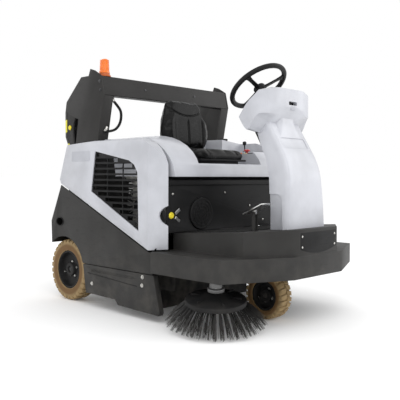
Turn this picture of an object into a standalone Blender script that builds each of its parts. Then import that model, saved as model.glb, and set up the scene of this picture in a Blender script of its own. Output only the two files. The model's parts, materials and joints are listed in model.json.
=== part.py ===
"""Ride-on sweeper with a high-dump hopper, as separate working pieces.

Metres, +Z up. The machine drives towards -Y and the operator's right is -X.
Pieces are placed from the machine datum: centreline, rear axle, ground. The
datum is then set so that the world origin lies under the middle of the machine.
"""
import math

import bmesh
import bpy
from mathutils import Matrix, Vector

for leftover in list(bpy.data.objects):
    bpy.data.objects.remove(leftover, do_unlink=True)

# ---------------------------------------------------------------- driving dimensions (metres)
GAP = 0.0003                 # between pieces that touch or are bolted together
RUN = 0.0004                 # radial clearance of a pin or shaft in its hole
CLEAR = 0.004                # beside a moving piece
WALL = 0.006                 # moulded panels and sheet covers
PLATE = 0.008                # welded steel plate

WHEELBASE = 1.115
REAR_WHEEL_RADIUS = 0.175
REAR_TYRE_WIDTH = 0.095
FRONT_WHEEL_RADIUS = 0.120
FRONT_TYRE_WIDTH = 0.086
FRONT_WHEEL_OFFSET = 0.045   # the wheel motor pushes the front wheel off the kingpin
RIM_RATIO = 0.62             # rim radius over tyre radius

BODY_HALF_WIDTH = 0.525      # side panels
SEAM_INSET = 0.065           # side panel's outer face to the deck seam
TYRE_INSET = 0.028           # side panel's outer face to the rear tyre
RAIL_INSET = 0.140           # side panel's outer face to the frame rail
MAST_INSET = 0.020           # side panel's outer face to the mast plate
BUMPER_REACH = 0.013         # the front platform stands out past the side panels

DECK_TOP = 0.940
PANEL_TOP = 0.915
SEAT_PAN_TOP = 0.785
SKIRT_TOP = 0.233
PLATFORM_BOTTOM = 0.242
PLATFORM_STEP = 0.347
PLATFORM_REAR_TOP = 0.430
PLATFORM_FRONT_TOP = 0.472
FLOOR_HEIGHT = 0.400

REAR_END = 0.131             # rear edge of the side panels
DECK_REAR = -0.360
SEAT_BOX_FRONT = -0.800
DECK_FRONT = -0.835

MAST_TOP = 1.264
LIFT_ARM_LENGTH = 0.400
LUG_RADIUS = 0.100
LUG_START_DEG = 130.0
LIFT_SWEEP_DEG = 110.0
CYLINDER_BASE_HEIGHT = 0.430

MAIN_BROOM_RADIUS = 0.138
MAIN_BROOM_LENGTH = 0.670
SIDE_BROOM_TIP_RADIUS = 0.220
SIDE_BROOM_DISC_RADIUS = 0.144
SIDE_BROOM_TILT_DEG = 9.0
FLOOR_CLEARANCE = 0.002      # bristle tips above the ground

STEERING_WHEEL_RADIUS = 0.166
STEERING_TILT_DEG = 37.4
SPOKE_ANGLES_DEG = (-160.0, -40.0, 80.0)
SEAT_HALF_WIDTH = 0.205

# ---------------------------------------------------------------- places worked out from them
SEAM_X = BODY_HALF_WIDTH - SEAM_INSET
RAIL_OUT = BODY_HALF_WIDTH - RAIL_INSET
RAIL_IN = RAIL_OUT - 0.020
MAST_OUT = BODY_HALF_WIDTH - MAST_INSET
MAST_IN = MAST_OUT - PLATE
TYRE_OUT = BODY_HALF_WIDTH - TYRE_INSET
TYRE_IN = TYRE_OUT - REAR_TYRE_WIDTH
ARM_OUT = MAST_IN - 0.015
ARM_IN = ARM_OUT - 0.012
HOPPER_HALF = RAIL_IN - 0.010
PLATFORM_HALF = BODY_HALF_WIDTH + BUMPER_REACH
FRONT_AXLE_Y = -WHEELBASE
PLATFORM_FRONT = FRONT_AXLE_Y - 0.270
FRAME_FRONT = -0.768
FLAP_FACE = -0.635
CYLINDER_X = ARM_IN - 0.030

MAST_PIVOT = Vector((0.0, -0.030, 0.994))
HOPPER_PIVOT = MAST_PIVOT - Vector((0.0, 0.0, LIFT_ARM_LENGTH))
BROOM_CENTRE = Vector((0.0, -0.470, MAIN_BROOM_RADIUS + FLOOR_CLEARANCE))
BROOM_PIVOT = Vector((0.0, -0.280, 0.300))
STEER_HUB = Vector((0.0, FRONT_AXLE_Y + 0.107, 1.190))
KINGPIN = Vector((0.0, FRONT_AXLE_Y, FRONT_WHEEL_RADIUS))
COLUMN_Y = FRONT_AXLE_Y      # the column's own points are measured from the front axle

X_AXIS = Vector((1.0, 0.0, 0.0))
Y_AXIS = Vector((0.0, 1.0, 0.0))
Z_AXIS = Vector((0.0, 0.0, 1.0))
ORIGIN = Vector((0.0, 0.0, 0.0))


def tilted(angle_deg, towards):
    """Unit vector that leans angle_deg from +Z towards a level direction."""
    angle = math.radians(angle_deg)
    level = Vector(towards).normalized()
    return Z_AXIS * math.cos(angle) + level * math.sin(angle)


STEER_AXIS = tilted(STEERING_TILT_DEG, (0.0, 1.0, 0.0))
SIDE_BROOM_AXIS = tilted(SIDE_BROOM_TILT_DEG, (-1.0, -1.0, 0.0))
RIGHT, LEFT = -1, 1

# ---------------------------------------------------------------- scene helpers
datum = bpy.data.objects.new("machine_datum", None)
bpy.context.scene.collection.objects.link(datum)
PAINTS = {}


def paint(name, colour, roughness, metallic=0.0):
    """Return the named Principled material, making it on first use."""
    if name not in PAINTS:
        material = bpy.data.materials.new(name)
        material.use_nodes = True
        shader = material.node_tree.nodes["Principled BSDF"]
        shader.inputs["Base Color"].default_value = (*colour, 1.0)
        shader.inputs["Roughness"].default_value = roughness
        shader.inputs["Metallic"].default_value = metallic
        material.diffuse_color = (*colour, 1.0)
        PAINTS[name] = material
    return PAINTS[name]


def light_grey():
    return paint("light_grey", (0.58, 0.59, 0.62), 0.38)


def dark_grey():
    return paint("dark_grey", (0.045, 0.044, 0.041), 0.55)


def mast_grey():
    return paint("mast_grey", (0.05, 0.05, 0.05), 0.5)


def black_plastic():
    return paint("black_plastic", (0.015, 0.015, 0.016), 0.45)


def black_vinyl():
    return paint("black_vinyl", (0.02, 0.02, 0.02), 0.4)


def frame_black():
    return paint("frame_black", (0.02, 0.02, 0.02), 0.5, 0.3)


def bare_steel():
    return paint("bare_steel", (0.55, 0.55, 0.56), 0.3, 1.0)


def tan_rubber():
    return paint("tan_rubber", (0.42, 0.30, 0.14), 0.8)


def bristle_black():
    return paint("bristle_black", (0.03, 0.03, 0.03), 0.7)


def amber():
    return paint("amber", (0.85, 0.27, 0.01), 0.2)


def signal_red():
    return paint("signal_red", (0.6, 0.02, 0.02), 0.35)


def make_object(name, bm, pivot):
    """Link a mesh object whose origin is on pivot, measured from the datum."""
    bmesh.ops.recalc_face_normals(bm, faces=bm.faces)
    bmesh.ops.translate(bm, vec=-Vector(pivot), verts=bm.verts)
    mesh = bpy.data.meshes.new(name)
    bm.to_mesh(mesh)
    bm.free()
    item = bpy.data.objects.new(name, mesh)
    bpy.context.scene.collection.objects.link(item)
    item.parent = datum
    item.location = pivot
    return item


def add(name, bm, material, pivot=ORIGIN):
    """Make a named piece of the machine."""
    item = make_object(name, bm, pivot)
    item.data.materials.append(material)
    item.data.shade_smooth()
    item.data.set_sharp_from_angle(angle=math.radians(32))
    return item


def combine(item, operation, shapes):
    """Boolean each shape into item; a shape is a bmesh or a hidden object."""
    for number, shape in enumerate(shapes):
        if isinstance(shape, bmesh.types.BMesh):
            shape = hidden(f"{item.name}_{operation.lower()}_{number}", shape)
        modifier = item.modifiers.new(operation.title(), "BOOLEAN")
        modifier.operation = operation
        modifier.solver = "EXACT"
        modifier.object = shape
    return item


def hidden(name, bm):
    """Make a tool object, which cuts or joins and isn't part of the machine."""
    item = make_object(name, bm, ORIGIN)
    item.hide_render = True
    item.display_type = "WIRE"
    return item


def cut(item, *shapes):
    return combine(item, "DIFFERENCE", shapes)


def fuse(item, *shapes):
    return combine(item, "UNION", shapes)


def trim(item, *shapes):
    return combine(item, "INTERSECT", shapes)


# ---------------------------------------------------------------- shape helpers
def extrude(outline, axis, low, high):
    """Prism: an outline in the plane across axis, drawn from low to high along it.

    Outline points are (y, z) for axis x, (x, z) for axis y and (x, y) for axis z.
    """
    places = {
        "x": lambda a, b: (low, a, b),
        "y": lambda a, b: (a, low, b),
        "z": lambda a, b: (a, b, low),
    }
    steps = {"x": X_AXIS, "y": Y_AXIS, "z": Z_AXIS}
    bm = bmesh.new()
    face = bm.faces.new([bm.verts.new(places[axis](a, b)) for a, b in outline])
    grown = bmesh.ops.extrude_face_region(bm, geom=[face])["geom"]
    moved = [part for part in grown if isinstance(part, bmesh.types.BMVert)]
    bmesh.ops.translate(bm, vec=steps[axis] * (high - low), verts=moved)
    return bm


def box(low, high):
    """Box between two opposite corners."""
    bm = bmesh.new()
    bmesh.ops.create_cube(bm, size=1.0)
    size = Vector(high) - Vector(low)
    bmesh.ops.scale(bm, vec=size, verts=bm.verts)
    bmesh.ops.translate(bm, vec=(Vector(high) + Vector(low)) / 2, verts=bm.verts)
    return bm


def turned(profile, direction, centre, segments=24):
    """Turn (radius, height) points about an axis; heights run along direction from centre.

    A profile that starts on the axis ends on it; any other profile is a closed ring.
    """
    bm = bmesh.new()
    points = [bm.verts.new((radius, 0.0, height)) for radius, height in profile]
    edges = [bm.edges.new(pair) for pair in zip(points, points[1:])]
    if profile[0][0] > 0.0:
        edges.append(bm.edges.new((points[-1], points[0])))
    bmesh.ops.spin(
        bm, geom=points + edges, cent=ORIGIN, axis=Z_AXIS, angle=2 * math.pi,
        steps=segments, use_merge=True, use_duplicate=False,
    )
    bmesh.ops.remove_doubles(bm, verts=bm.verts, dist=1e-6)
    turn = Z_AXIS.rotation_difference(Vector(direction)).to_matrix()
    bmesh.ops.rotate(bm, matrix=turn, verts=bm.verts, cent=ORIGIN)
    bmesh.ops.translate(bm, vec=Vector(centre), verts=bm.verts)
    return bm


def rod(start, end, radius, segments=16):
    """Solid round bar from start to end."""
    start, end = Vector(start), Vector(end)
    length = (end - start).length
    return turned([(0, 0), (radius, 0), (radius, length), (0, length)], end - start, start, segments)


def arc(centre, radii, start_deg, end_deg, count):
    """Points of an elliptical arc in the plane of an outline."""
    points = []
    for step in range(count + 1):
        angle = math.radians(start_deg + (end_deg - start_deg) * step / count)
        points.append((centre[0] + radii[0] * math.cos(angle), centre[1] + radii[1] * math.sin(angle)))
    return points


def capsule(start, end, radius, count=8):
    """Outline of a bar with round ends between two outline points."""
    heading = math.degrees(math.atan2(end[1] - start[1], end[0] - start[0]))
    front = arc(end, (radius, radius), heading - 90, heading + 90, count)
    back = arc(start, (radius, radius), heading + 90, heading + 270, count)
    return front + back


def offset(outline, distances):
    """Move each edge of an outline inwards by its distance, or all by one distance."""
    count = len(outline)
    if not isinstance(distances, (list, tuple)):
        distances = [distances] * count
    area = sum(
        outline[i][0] * outline[(i + 1) % count][1] - outline[(i + 1) % count][0] * outline[i][1]
        for i in range(count)
    )
    side = 1.0 if area > 0 else -1.0
    lines = []
    for i in range(count):
        (ax, ay), (bx, by) = outline[i], outline[(i + 1) % count]
        length = math.hypot(bx - ax, by - ay)
        ux, uy = (bx - ax) / length, (by - ay) / length
        lines.append((ax - side * uy * distances[i], ay + side * ux * distances[i], ux, uy))
    moved = []
    for i in range(count):
        px, py, ux, uy = lines[i - 1]
        qx, qy, vx, vy = lines[i]
        cross = ux * vy - uy * vx
        if abs(cross) < 1e-6:
            moved.append((qx, qy))
            continue
        along = ((qx - px) * vy - (qy - py) * vx) / cross
        moved.append((px + ux * along, py + uy * along))
    return moved


def loft(loops):
    """Closed skin through loops of equal length, capped at both ends."""
    bm = bmesh.new()
    rings = [[bm.verts.new(point) for point in loop] for loop in loops]
    for below, above in zip(rings, rings[1:]):
        for i in range(len(below)):
            j = (i + 1) % len(below)
            bm.faces.new((below[i], below[j], above[j], above[i]))
    bm.faces.new(rings[0])
    bm.faces.new(rings[-1])
    return bm


def mirrored(outline, side):
    """Flip the first coordinate of an outline for the machine's right side."""
    return [(side * a, b) for a, b in outline]


def across(side, near, far):
    """Sorted X range for a piece between two distances from the centreline."""
    return sorted((side * near, side * far))


def side_box(side, x_range, y_range, z_range):
    """Box on one side of the machine; x_range holds distances from the centreline."""
    low, high = across(side, *x_range)
    return box((low, y_range[0], z_range[0]), (high, y_range[1], z_range[1]))


def side_prism(side, outline, near, far):
    """Prism across the machine on one side, from an outline of (y, z) points."""
    return extrude(outline, "x", *across(side, near, far))


def side_rod(side, near, far, place, radius, segments=16):
    """Round bar across the machine on one side, centred on a point's y and z."""
    start = (side * near, place.y, place.z)
    end = (side * far, place.y, place.z)
    return rod(start, end, radius, segments)


# ---------------------------------------------------------------- outlines shared by pieces
SEAM_ARC = arc((-0.620, 0.720), (0.205, PANEL_TOP - 0.720), 90, 180, 6)
DECK_ARC = arc((DECK_FRONT + 0.335, 0.730), (0.335, DECK_TOP - 0.730), 90, 180, 8)
PANEL_FRONT = -0.815
CORNER_START = -0.738        # the side panel turns inwards from here to its front edge
BODY_SPLIT = -0.770          # the front platform meets the lower side panel here
SPLIT_STEP = 0.008           # shadow gap along the diagonal between the panels
PANEL_REAR = [(0.030, 0.673), (0.043, 0.697), (-0.030, 0.893), (DECK_REAR, PANEL_TOP)]
PANEL_FOOT = [(PANEL_FRONT - 0.010, 0.357), (CORNER_START, 0.351)]
GRILLE_OUTLINE = [
    (-0.262, 0.633), (-0.297, 0.852), (-0.588, 0.798), (-0.630, 0.775), (-0.655, 0.735), (-0.665, 0.441),
]


def panel_outline():
    """Side view of the light side panel, from its rear foot round over the top."""
    return PANEL_REAR + SEAM_ARC + PANEL_FOOT


def lower_outline():
    """Side view of the dark lower panel with its wheel arch."""
    arch = REAR_WHEEL_RADIUS + 0.020
    foot = math.degrees(math.asin((SKIRT_TOP - REAR_WHEEL_RADIUS) / arch))
    heel = math.degrees(math.acos((REAR_END - 0.006) / arch))
    wheel_arch = arc((0.0, REAR_WHEEL_RADIUS), (arch, arch), heel, 180 - foot, 10)
    return (
        [(BODY_SPLIT, SKIRT_TOP), (BODY_SPLIT, 0.338), (CORNER_START, 0.351 - SPLIT_STEP),
         (0.030, 0.673 - SPLIT_STEP), (REAR_END, 0.454)]
        + wheel_arch
    )


def platform_plan(half, corner_y, nose_half, nose_y, rear_y):
    """Half-plan points of one tier of the front platform, mirrored into an outline."""
    right_side = [(half, rear_y), (half, corner_y), (nose_half, nose_y)]
    return right_side + [(-x, y) for x, y in reversed(right_side)]


# ---------------------------------------------------------------- frame and front platform
def build_frame():
    """Welded chassis: floor, rails, neck, mast shelves, cylinder feet and stub axles."""
    frame = add(
        "chassis_frame",
        box((0.001 - RAIL_OUT, FRAME_FRONT, FLOOR_HEIGHT), (RAIL_OUT - 0.001, -0.240, FLOOR_HEIGHT + PLATE)),
        frame_black(),
    )
    joined = []
    neck_end = FRONT_AXLE_Y - 0.070
    joined.append(box((-0.110, neck_end, 0.372), (0.110, FRAME_FRONT + 0.020, FLOOR_HEIGHT + 0.003)))
    half = RAIL_OUT - 0.002
    joined.append(box((-half, FRAME_FRONT + 0.002, 0.300), (half, FRAME_FRONT + 0.030, FLOOR_HEIGHT + 0.004)))
    half = RAIL_IN + 0.008
    joined.append(box((-half, FLAP_FACE - 0.025, 0.301), (half, FLAP_FACE, 0.330)))
    for side in (RIGHT, LEFT):
        rail_top = FLOOR_HEIGHT + 0.005
        joined.append(side_box(side, (RAIL_IN, RAIL_OUT), (FRAME_FRONT + 0.001, 0.100), (0.135, rail_top)))
        upright = (RAIL_IN + 0.001, RAIL_OUT - 0.002)
        joined.append(side_box(side, upright, (-0.260, -0.130), (FLOOR_HEIGHT - 0.010, 0.570)))
        joined.append(side_box(side, (RAIL_IN + 0.005, MAST_IN - GAP), (-0.258, -0.132), (0.560, 0.572)))
        foot_y = cylinder_base().y
        joined.append(side_box(
            side, (RAIL_OUT - 0.005, ARM_IN - 0.002), (foot_y - 0.020, foot_y + 0.020),
            (0.385, FLOOR_HEIGHT - 0.001)
        ))
        joined.append(side_box(
            side, (ARM_IN - 0.009, ARM_IN - 0.001), (foot_y - 0.018, foot_y + 0.018), (0.395, 0.452)
        ))
        joined.append(side_rod(side, CYLINDER_X - 0.020, ARM_IN - 0.005, cylinder_base(), 0.008))
        stub = Vector((0.0, 0.0, REAR_WHEEL_RADIUS))
        joined.append(side_rod(side, RAIL_IN + 0.004, TYRE_OUT - 0.020, stub, 0.018, 20))
    joined.append(box((-0.345, -0.860, 0.270), (-0.335, FRAME_FRONT + 0.010, 0.332)))
    fuse(frame, *joined)
    holes = []
    for side in (RIGHT, LEFT):
        holes.append(side_rod(side, RAIL_IN - 0.01, RAIL_OUT + 0.01, BROOM_PIVOT, 0.010 + RUN))
    holes.append(rod((0, FRONT_AXLE_Y, 0.35), (0, FRONT_AXLE_Y, 0.42), 0.020 + RUN, 20))
    holes.append(rod((-0.35, SIDE_ARM_PIVOT.y, SIDE_ARM_PIVOT.z), (-0.33, SIDE_ARM_PIVOT.y, SIDE_ARM_PIVOT.z),
                     0.008 + RUN))
    cut(frame, *holes)


def cylinder_base():
    """Foot pivot of the lift cylinders, level with the lug at rest."""
    lug = lug_place(0.0)
    return Vector((0.0, lug.y, CYLINDER_BASE_HEIGHT))


def lug_place(lift_deg):
    """Place of the lift arm's lug at a lift angle."""
    angle = math.radians(LUG_START_DEG + lift_deg)
    return MAST_PIVOT + Vector((0.0, math.cos(angle), math.sin(angle))) * LUG_RADIUS


def platform_top(y):
    """Height of the sloping platform top at y."""
    share = (y - BODY_SPLIT) / (PLATFORM_FRONT - BODY_SPLIT)
    return PLATFORM_REAR_TOP + (PLATFORM_FRONT_TOP - PLATFORM_REAR_TOP) * share


def above_platform(lift):
    """Tool that keeps what is above the platform top by a given gap."""
    rear, front = BODY_SPLIT + 0.10, PLATFORM_FRONT - 0.10
    outline = [(rear, platform_top(rear) + lift), (rear, 0.2), (front, 0.2),
               (front, platform_top(front) + lift)]
    return extrude(outline, "x", -0.60, 0.60)


def build_platform():
    """Two-tier front platform: a hollow moulding, open underneath."""
    lower = platform_plan(PLATFORM_HALF, FRONT_AXLE_Y - 0.118, 0.200, PLATFORM_FRONT - 0.004, BODY_SPLIT - GAP)
    upper = platform_plan(0.385, FRONT_AXLE_Y - 0.120, 0.160, PLATFORM_FRONT, BODY_SPLIT - GAP)
    bumper = add("front_bumper", extrude(lower, "z", PLATFORM_BOTTOM, PLATFORM_STEP), dark_grey())
    rear, front = BODY_SPLIT - GAP, PLATFORM_FRONT
    slope = [(rear, 0.30), (rear, platform_top(rear)), (front, platform_top(front)), (front, 0.30)]
    tier = trim(hidden("platform_tier", extrude(upper, "z", 0.30, 0.60)), extrude(slope, "x", -0.6, 0.6))
    fuse(bumper, tier)
    open_rear = [WALL, WALL, WALL, WALL, WALL, -0.02]
    lower_hollow = extrude(offset(lower, open_rear), "z", PLATFORM_BOTTOM - 0.02, PLATFORM_STEP - WALL)
    under = [(rear + 0.03, 0.25), (rear + 0.03, platform_top(rear) - WALL),
             (front + WALL, platform_top(front) - WALL), (front + WALL, 0.25)]
    upper_hollow = trim(
        hidden("platform_hollow", extrude(offset(upper, open_rear), "z", 0.26, 0.60)),
        extrude(under, "x", -0.6, 0.6),
    )
    cut(bumper, lower_hollow, upper_hollow)
    bumper.modifiers.new("Edges", "BEVEL")
    bumper.modifiers["Edges"].width = 0.002
    bumper.modifiers["Edges"].segments = 1
    bumper.modifiers["Edges"].limit_method = "ANGLE"
    bumper.modifiers["Edges"].angle_limit = math.radians(40)
    plate = box((-0.150, PLATFORM_FRONT - GAP - 0.004, 0.352),
                (0.150, PLATFORM_FRONT - GAP, PLATFORM_FRONT_TOP - 0.010))
    add("bumper_access_plate", plate, black_plastic())


# ---------------------------------------------------------------- steering column and dash
def column_loop(height, front, rear, half, shrink=0.0, rear_shrink=None):
    """One level of the column cover: front corners rounded, rear open side straight."""
    rear_shrink = shrink if rear_shrink is None else rear_shrink
    width = half - shrink
    nose = COLUMN_Y + front + shrink
    back = COLUMN_Y + rear - rear_shrink
    radius = 0.030
    outline = [(width, back)]
    outline += arc((width - radius, nose + radius), (radius, radius), 0, -90, 3)
    outline += [(-x, y) for x, y in reversed(outline)]
    return [(x, y, height) for x, y in outline]


COLUMN_LEVELS = [
    (0.440, -0.205, -0.086, 0.160), (0.615, -0.202, -0.088, 0.150), (0.770, -0.191, -0.072, 0.138),
    (0.900, -0.115, -0.006, 0.133), (1.010, -0.045, 0.030, 0.130),
]


def column_solid(shrink=0.0, rear_shrink=None, stretch=0.0):
    """Whole body of the column at its outer size less shrink."""
    levels = list(COLUMN_LEVELS)
    if stretch:
        foot, head = levels[0], levels[-1]
        levels = [(foot[0] - stretch, *foot[1:])] + levels + [(head[0] + stretch, *head[1:])]
    return loft([column_loop(*level, shrink, rear_shrink) for level in levels])


def build_column():
    """Light front cover of the column and the dark cover that closes its rear."""
    cover = add("column_cover", column_solid(), light_grey())
    cut(cover, column_solid(WALL, -0.05, 0.02), above_platform(GAP))
    low, knee, high = 0.440, 0.760, 0.960
    rear_of = COLUMN_Y - 0.086
    inner = 0.130 - WALL - 2 * GAP
    outline = [
        (rear_of, low), (COLUMN_Y - 0.088, 0.640), (COLUMN_Y - 0.076, knee), (COLUMN_Y + 0.040, high),
        (COLUMN_Y + 0.026, high), (COLUMN_Y - 0.092, knee), (COLUMN_Y - 0.100, 0.640), (COLUMN_Y - 0.098, low),
    ]
    rear_cover = add("column_rear_cover", extrude(outline, "x", -inner, inner), black_plastic())
    cut(rear_cover, above_platform(GAP))


DASH_SIDE = [
    (-0.108, 1.155), (-0.060, 1.162), (0.052, 1.012), (-0.010, 0.918), (-0.090, 1.018), (-0.108, 1.068),
]
DASH_HALF = 0.220
DASH_CORNER = 0.075
SLOPE = (DASH_SIDE[1], DASH_SIDE[2])


def from_front_axle(outline):
    """Shift (y, z) points that are measured from the front axle."""
    return [(FRONT_AXLE_Y + y, z) for y, z in outline]


def dash_plan(inset):
    """Plan of the dash: straight sides, round front corners and a slightly bowed front."""
    half = DASH_HALF - inset
    front = FRONT_AXLE_Y - 0.108 + inset
    corner = arc((half - DASH_CORNER, front + DASH_CORNER + 0.018), (DASH_CORNER, DASH_CORNER), 0, -75, 5)
    left = [(half, FRONT_AXLE_Y + 0.20)] + corner + [(half * 0.5, front + 0.008), (half * 0.2, front + 0.001)]
    return left + [(-x, y) for x, y in reversed(left)]


def build_dash():
    """Dash moulding on the column, with the sloping control panel that the operator faces."""
    side = from_front_axle(DASH_SIDE)
    dash = add("dash_head", extrude(side, "x", -DASH_HALF, DASH_HALF), light_grey())
    trim(dash, extrude(dash_plan(0.0), "z", 0.85, 1.25))
    hollow = hidden("dash_hollow", extrude(offset(side, WALL), "x", -DASH_HALF + WALL, DASH_HALF - WALL))
    trim(hollow, extrude(dash_plan(WALL), "z", 0.85, 1.25))
    hub_hole = rod(STEER_HUB - STEER_AXIS * 0.190, STEER_HUB, 0.034, 20)
    cut(dash, hollow, column_solid(-GAP, -0.002, 0.02), hub_hole)
    (front_y, front_z), (rear_y, rear_z) = from_front_axle(SLOPE)
    run, drop = rear_y - front_y, rear_z - front_z
    length = math.hypot(run, drop)
    along = (run / length, drop / length)
    out = (-along[1], along[0])
    points = []
    for distance, height in ((0.014, GAP), (length - 0.014, GAP), (length - 0.014, 0.005), (0.014, 0.005)):
        points.append((
            front_y + along[0] * distance + out[0] * height, front_z + along[1] * distance + out[1] * height
        ))
    panel = add("control_panel", extrude(points, "x", -DASH_HALF + 0.022, DASH_HALF - 0.022), black_plastic())
    trim(panel, extrude(dash_plan(0.014), "z", 0.85, 1.25))
    cut(panel, rod(STEER_HUB - STEER_AXIS * 0.190, STEER_HUB, 0.034, 20))


def build_steering():
    """Steering unit inside the dash, and the wheel that turns on its shaft."""
    add(
        "steering_tube",
        turned([(0, -0.200), (0.032, -0.200), (0.032, -0.168), (0.022, -0.168), (0.022, -0.062),
                (0.012, -0.062), (0.012, -0.014), (0, -0.014)], STEER_AXIS, STEER_HUB, 20),
        bare_steel(),
    )
    grip = 0.0135
    ring_radius = STEERING_WHEEL_RADIUS - grip
    ring = turned(
        [(ring_radius + x, y) for x, y in arc((0, 0), (grip, grip), 0, 315, 7)], STEER_AXIS, STEER_HUB, 36
    )
    wheel = add("steering_wheel", ring, black_plastic(), STEER_HUB)
    frame = Z_AXIS.rotation_difference(STEER_AXIS).to_matrix().to_4x4()
    hub = turned(
        [(0, -0.0136), (0.012 + RUN, -0.0136), (0.012 + RUN, -0.058), (0.026, -0.058), (0.031, -0.030),
         (0.031, -0.006), (0.026, 0.0), (0, 0.0)], STEER_AXIS, STEER_HUB, 20)
    spokes = []
    for angle_deg in SPOKE_ANGLES_DEG:
        angle = math.radians(angle_deg)
        inner = Vector((math.cos(angle) * 0.022, math.sin(angle) * 0.022, -0.014))
        outer = Vector((math.cos(angle) * ring_radius, math.sin(angle) * ring_radius, -0.001))
        width = Vector((-math.sin(angle), math.cos(angle), 0.0)) * 0.011
        rise = Vector((0.0, 0.0, 0.004))
        loops = []
        for place in (inner, outer):
            corners = (place + width + rise, place - width + rise, place - width - rise, place + width - rise)
            loops.append([STEER_HUB + frame.to_3x3() @ corner for corner in corners])
        spokes.append(loft(loops))
    fuse(wheel, hub, *spokes)


# ---------------------------------------------------------------- body panels
def panel_section(wall):
    """Front view of the side panel's wall and rolled shoulder."""
    shoulder = 0.035
    outer = BODY_HALF_WIDTH - wall
    top = PANEL_TOP - wall
    return [(SEAM_X - wall, 0.25), (outer, 0.25), (outer, top - shoulder)] + arc(
        (outer - shoulder, top - shoulder), (shoulder, shoulder), 20, 90, 4) + [(SEAM_X - wall, top)]


def panel_plan(wall):
    """Plan of the side panel with its front corner turned in to the seam."""
    outer = BODY_HALF_WIDTH - wall
    return [(SEAM_X - wall, 0.20), (outer, 0.20), (outer, CORNER_START + wall * 0.4),
            (SEAM_X - wall, PANEL_FRONT + wall * 0.9)]


def panel_volume(name, side, wall):
    """Solid volume inside the side panel's skin, or the skin's outside for no wall."""
    outline = panel_outline()
    if wall:
        walls = [0.0005, 0.0005, 0.0005] + [wall] * 7 + [0.0005] + [-0.03, -0.03]
        outline = offset(outline, walls)
    volume = side_prism(side, outline, SEAM_X - wall, BODY_HALF_WIDTH - wall)
    section = extrude(mirrored(panel_section(wall), side), "y", -1.0, 0.30)
    plan = extrude(mirrored(panel_plan(wall), side), "z", 0.20, 1.0)
    return name, volume, section, plan


def build_side_panel(side, word):
    """Light upper side panel: wall, shoulder and turned front corner as one skin."""
    name, volume, section, plan = panel_volume(f"{word}_side_panel", side, 0.0)
    panel = add(name, volume, light_grey())
    trim(panel, section, plan)
    hollow_name, hollow_volume, hollow_section, hollow_plan = panel_volume(f"{word}_panel_hollow", side, WALL)
    hollow = hidden(hollow_name, hollow_volume)
    trim(hollow, hollow_section, hollow_plan)
    mast_way = side_box(side, (SEAM_X - 0.05, MAST_OUT + CLEAR), (DECK_REAR + 0.002, 0.20), (0.60, 1.00))
    shapes = [hollow, mast_way, side_prism(side, GRILLE_OUTLINE, SEAM_X, BODY_HALF_WIDTH + 0.02)]
    if side == RIGHT:
        shapes.append(side_rod(side, SEAM_X - 0.02, BODY_HALF_WIDTH + 0.02, LATCH_PLACE, 0.052, 20))
    cut(panel, *shapes)


def build_grille(side, word):
    """Louvred grille behind the opening in the side panel."""
    plate_near, plate_far = BODY_HALF_WIDTH - WALL - 0.006, BODY_HALF_WIDTH - WALL - GAP
    border = offset(GRILLE_OUTLINE, -0.010)
    grille = add(f"{word}_grille", side_prism(side, border, plate_near, plate_far), black_plastic())
    pitch = 0.030
    posts = (-0.400, -0.530)
    inside = offset(GRILLE_OUTLINE, 0.004)
    slots = None
    for row in range(13):
        z = 0.462 + row * pitch
        spans = grille_spans(inside, z, z + 0.020, posts)
        for low, high in spans:
            slot = side_box(side, (plate_near - 0.01, plate_far + 0.01), (low, high), (z, z + 0.020))
            slots = merge(slots, slot)
    cut(grille, slots)


def merge(first, second):
    """Put a second mesh beside the first in one tool."""
    if first is None:
        return second
    spare = bpy.data.meshes.new("spare")
    second.to_mesh(spare)
    second.free()
    first.from_mesh(spare)
    bpy.data.meshes.remove(spare)
    return first


def grille_spans(outline, low, high, posts):
    """Stretches of a row of louvres that lie inside the outline, split at the posts."""
    reach = [level_crossings(outline, z) for z in (low, high)]
    if any(len(pair) < 2 for pair in reach):
        return []
    start = max(min(pair) for pair in reach) + 0.003
    end = min(max(pair) for pair in reach) - 0.003
    marks = [start] + [post for post in sorted(posts) if start + 0.02 < post < end - 0.02] + [end]
    spans = []
    for left_mark, right_mark in zip(marks, marks[1:]):
        low_end = left_mark + (0.003 if left_mark != start else 0.0)
        high_end = right_mark - (0.003 if right_mark != end else 0.0)
        if high_end - low_end > 0.012:
            spans.append((low_end, high_end))
    return spans


def level_crossings(outline, z):
    """Y values where an outline of (y, z) points crosses a height."""
    found = []
    for i, (ay, az) in enumerate(outline):
        by, bz = outline[(i + 1) % len(outline)]
        if (az - z) * (bz - z) < 0:
            found.append(ay + (by - ay) * (z - az) / (bz - az))
    return found


def build_lower_panel(side, word):
    """Dark lower panel with the wheel arch and a return round the rear corner."""
    outline = lower_outline()
    return_x = RAIL_OUT - 0.022
    panel = add(f"{word}_lower_panel", side_prism(side, outline, return_x, BODY_HALF_WIDTH), dark_grey())
    edges = len(outline)
    walls = [-0.02] * edges
    walls[0], walls[1], walls[2], walls[3] = -0.02, -0.02, -0.02, WALL
    walls[4] = WALL
    inner = offset(outline, walls)
    hollow = side_prism(side, inner, return_x - 0.01, BODY_HALF_WIDTH - WALL)
    swing_way = side_box(side, (return_x - 0.01, BODY_HALF_WIDTH - WALL), (-0.90, 0.30), (0.520, 0.80))
    hand_hole = side_prism(
        side, capsule((0.028, 0.453), (0.052, 0.453), 0.022), BODY_HALF_WIDTH - 0.02, BODY_HALF_WIDTH + 0.02)
    cut(panel, hollow, swing_way, hand_hole)


def skirt_outline():
    """Side view of the skirt door between the rear wheel and the front platform."""
    top = SKIRT_TOP - 0.003
    rear = -REAR_WHEEL_RADIUS - 0.015
    return [(rear, top), (rear - 0.027, 0.074), (-0.475, 0.071), (-0.500, 0.045), (BODY_SPLIT - 0.048, 0.037),
            (BODY_SPLIT - 0.055, 0.055), (BODY_SPLIT - 0.008, top)]


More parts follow.
